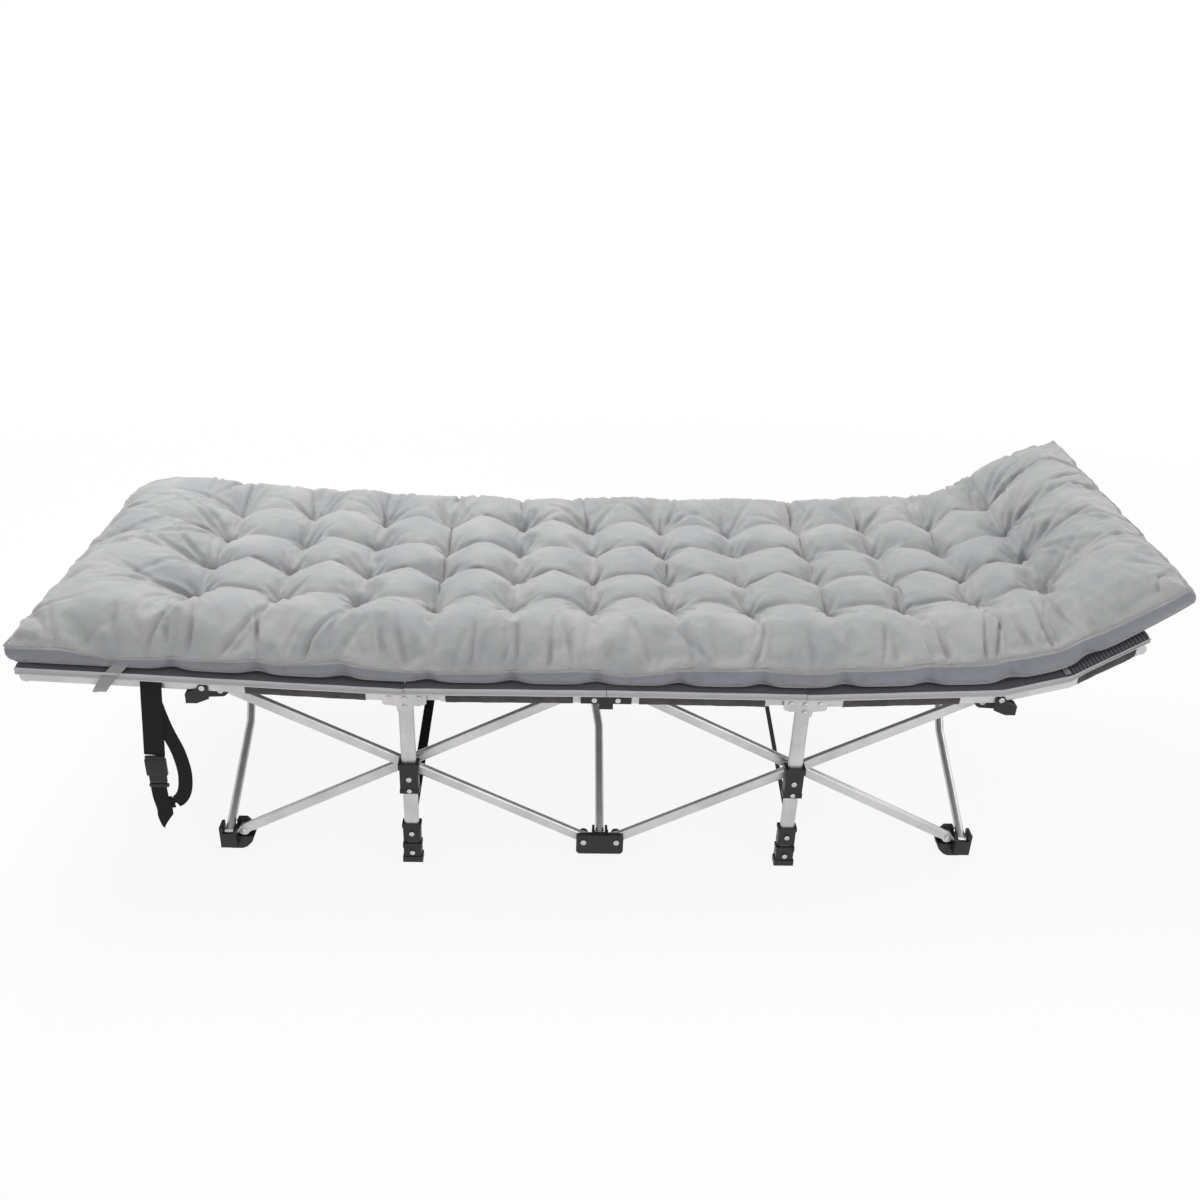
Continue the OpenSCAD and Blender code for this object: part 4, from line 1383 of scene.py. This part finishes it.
    def build(self) -> None:
        """Builds the mattress and hides the solid that it stands for."""
        slab = self.blank()
        ring, flat = self.lay_out(slab)
        self.swell(slab, ring, flat)
        for name, values in (
            ("side", np.where((ring > 0.5) & (ring < self.rings - 0.5), 1.0, 0.0)),
            ("under", np.where((ring < 0.5) & (self.border(*flat.T)[0] > 1e-6), 1.0, 0.0)),
            ("top", np.where(ring > self.rings - 0.5, 1.0, 0.0)),
            ("flat_s", flat[:, 0]),
            ("flat_y", flat[:, 1]),
        ):
            layer = slab.data.attributes.new(name, "FLOAT", "POINT")
            layer.data.foreach_set("value", values.astype(np.float32))
        points = coordinates(slab)
        seams = [points[self.rim(ring, flat, level)] for level in (0, self.rings)]
        move_points(slab, self.bend(points))
        modify(slab, "SUBSURF", levels=1)
        self.fold_in(slab)
        smooth(slab, 60)
        wear(slab, self.finishes.plush)
        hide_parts("mattress")
        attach(slab, "mattress")
        piping = [closed_cord("piping", self.bend(seam), 0.0017) for seam in seams]
        cord = join("mattress_piping", piping)
        wear(cord, self.finishes.elastic)
        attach(cord, "mattress")
        LOG.info("mattress: %d faces", len(slab.data.polygons))


# ---------------------------------------------------------------- straps


@dataclass
class Straps:
    """Corner bands, cross straps and the tie strap with its buckle."""

    finishes: Finishes

    def band(
        self, name: str, points: Sequence[Point], across: Point, width: float, thick: float = 0.0014
    ) -> bpy.types.Object:
        """A flat strap along a path.

        Args:
            name: the piece's name.
            points: the path's corners.
            across: direction of its width, as far as the path lets it.
            width: its width.
            thick: its thickness.

        Returns:
            The strap.
        """
        length = length_of(points)
        share = np.linspace(0, 1, max(24, int(length / 0.006)))
        line = polyline(points)(share)
        for _ in range(6):  # rounds the corners
            line[1:-1] = 0.25 * line[:-2] + 0.5 * line[1:-1] + 0.25 * line[2:]
        tangent = np.gradient(line, axis=0)
        tangent /= np.linalg.norm(tangent, axis=1, keepdims=True)
        wide = np.array(across, float) - tangent * (tangent @ np.array(across, float))[:, None]
        wide /= np.linalg.norm(wide, axis=1, keepdims=True)

        def shape(u: np.ndarray, v: np.ndarray) -> np.ndarray:
            """Spreads the strap's width to both sides of its line."""
            half = ((v - 0.5) * width)[:, None]
            return between(u, share, line) + between(u, share, wide) * half

        return surface(name, len(line) - 1, 6, shape, thick, (length, width))

    def cross(self) -> None:
        """The webbing between the near and far legs."""
        for end, half in ((-1, "foot"), (1, "head")):
            x, side = end * LEG_X, PLANE + 0.0147
            inner = end * (LEG_X - BRACKET)
            piece = self.band(
                f"cross_webbing_{half}",
                [(x, -side, 0.094), ((x + inner) / 2, 0, 0.212), (inner, side, 0.335)],
                (1, 0, 0) if end < 0 else (0.12, 0, 1),
                0.018,
            )
            wear(piece, self.finishes.webbing)
            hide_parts(f"cross_strap_{half}")
            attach(piece, f"leg_{half}_near")
            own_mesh(piece)

    def corner_bands(self) -> None:
        """Elastic bands that hold the mattress's foot corners."""
        made = []
        for side in (-1, 1):
            made.append(
                self.band(
                    "band",
                    [
                        (-0.796, side * 0.342, RAIL_Z + 0.046),
                        (-0.806, side * 0.3475, RAIL_Z + 0.036),
                        (-0.822, side * 0.3555, RAIL_Z + 0.020),
                        (-0.840, side * 0.3560, RAIL_Z - 0.004),
                        (-0.846, side * 0.350, RAIL_Z - 0.0145),
                        (-0.850, side * 0.327, RAIL_Z - 0.0145),
                    ],
                    (1, 0, 0.1),
                    0.020,
                )
            )
        piece = join("corner_elastic", made)
        wear(piece, self.finishes.elastic)
        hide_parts("corner_bands")
        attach(piece, "mattress")
        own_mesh(piece)

    def tie(self) -> None:
        """The tie strap, its loop, tail and buckle."""
        y = -(PLANE + 0.0453)
        tip_x, tip_z, tip_height = -0.774, 0.084, 0.028
        main = self.band(
            "tie_strap",
            [
                (-0.757, y + 0.006, 0.384), (-0.757, y, 0.366), (-0.763, y, 0.30),
                (-0.769, y, 0.238),
            ],
            (1, 0, 0),
            0.035,
        )
        loop = self.band(
            "tie_loop",
            [
                (x, y + 0.0016, z)
                for x, z in (
                    (-0.757, 0.368), (-0.752, 0.330), (-0.742, 0.286), (-0.728, 0.245),
                    (-0.722, 0.200), (-0.727, 0.160), (-0.742, 0.136), (-0.768, 0.138),
                )
            ],
            (1, 0, 0.35),
            0.024,
        )
        tail = self.band(
            "tie_tail",
            [(-0.771, y, 0.180), (-0.771, y, 0.150), (-0.766, y, 0.122), (-0.772, y, 0.084)],
            (1, 0, 0),
            0.027,
        )
        points = coordinates(tail)
        low = points[:, 2] < tip_z + tip_height
        share = np.clip((points[:, 2] - tip_z) / tip_height, 0, 1)
        points[low, 0] = tip_x + (points[low, 0] - tip_x) * (0.12 + 0.88 * share[low])
        move_points(tail, points)
        strap = join("tie_webbing", [main, loop, tail])
        wear(strap, self.finishes.webbing)
        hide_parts("carry_strap")
        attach(strap, "carry_strap")
        self.buckle(y)

    def buckle(self, y: float) -> None:
        """The side-release buckle: a socket, its prongs and a ladder."""
        parts = []
        # height of the centre, then width, height and thickness of each moulding
        for z, width, height, thick in (
            (0.214, 0.036, 0.034, 0.0085),
            (0.190, 0.030, 0.018, 0.0065),
            (0.233, 0.034, 0.008, 0.006),
            (0.176, 0.034, 0.007, 0.006),
        ):
            deselect()
            bpy.ops.mesh.primitive_cube_add(size=1.0)
            part = bpy.context.object
            part.scale = (width, thick, height)
            part.location = (-0.769, y - 0.001, z)
            settle(part)
            modify(part, "BEVEL", width=0.0022, segments=3, limit_method="ANGLE")
            parts.append(part)
        piece = join("tie_buckle", parts)
        smooth(piece)
        wear(piece, self.finishes.buckle)
        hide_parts("strap_buckle")
        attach(piece, "carry_strap")

    def build(self) -> None:
        """Builds every strap."""
        self.cross()
        self.corner_bands()
        self.tie()
        LOG.info("straps done")


# ---------------------------------------------------------------- the whole cot


def deck_panels(finishes: Finishes) -> list[DeckPanel]:
    """The four panels, from the foot end to the head end."""
    out_x, in_x = LEG_X + BRACKET, LEG_X - BRACKET
    tilt = (RAIL_Z - LEG_Z) / (RAIL_X - out_x)

    def end(x: float) -> tuple[float, float]:
        """A place on an end rail."""
        return x, LEG_Z + (abs(x) - out_x) * tilt

    def mid(x: float) -> tuple[float, float]:
        """A place on a middle rail."""
        return x, MID_Z + (abs(x) - RAIL_MID) * (LEG_Z - MID_Z) / (in_x - RAIL_MID)

    def slope(share: float) -> tuple[float, float]:
        """A place on the raised part of a head rail."""
        return tuple(a + (b - a) * share for a, b in zip(BEND, HEAD))

    foot_z = RAIL_Z + (0.962 - RAIL_X) * tilt
    return [
        DeckPanel(
            finishes, "deck_foot", "rail_foot_near",
            ((-FOOT_X, foot_z), end(-LEG_X - 0.0005)), ((end(-0.604), end(-0.405)),),
        ),
        DeckPanel(
            finishes, "deck_midfoot", "rail_midfoot_near",
            (mid(-LEG_X + 0.0005), (-0.0005, MID_Z)), ((mid(-0.271), mid(-0.056)),),
        ),
        DeckPanel(
            finishes, "deck_midhead", "rail_midhead_near",
            ((0.0005, MID_Z), mid(LEG_X - 0.0005)), ((mid(0.056), mid(0.271)),),
        ),
        DeckPanel(
            finishes, "deck_head", "rail_head_near",
            (end(LEG_X + 0.0005), (RAIL_X, RAIL_Z), BEND, HEAD),
            ((end(0.405), end(0.604)), (slope(0.12), slope(0.86))),
        ),
    ]


def main() -> None:
    """Builds everything in order."""
    logging.basicConfig(level=logging.INFO, format="%(message)s")
    bpy.context.scene.view_settings.view_transform = "Standard"
    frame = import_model()
    studio = Studio()
    studio.camera()
    studio.build()
    finishes = Finishes()
    metal = Frame(finishes)
    metal.dress(frame["nodes"])
    metal.rivets()
    for panel in deck_panels(finishes):
        panel.build()
    Mattress(finishes).build()
    Straps(finishes).build()
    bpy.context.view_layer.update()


if __name__ == "__main__":
    main()
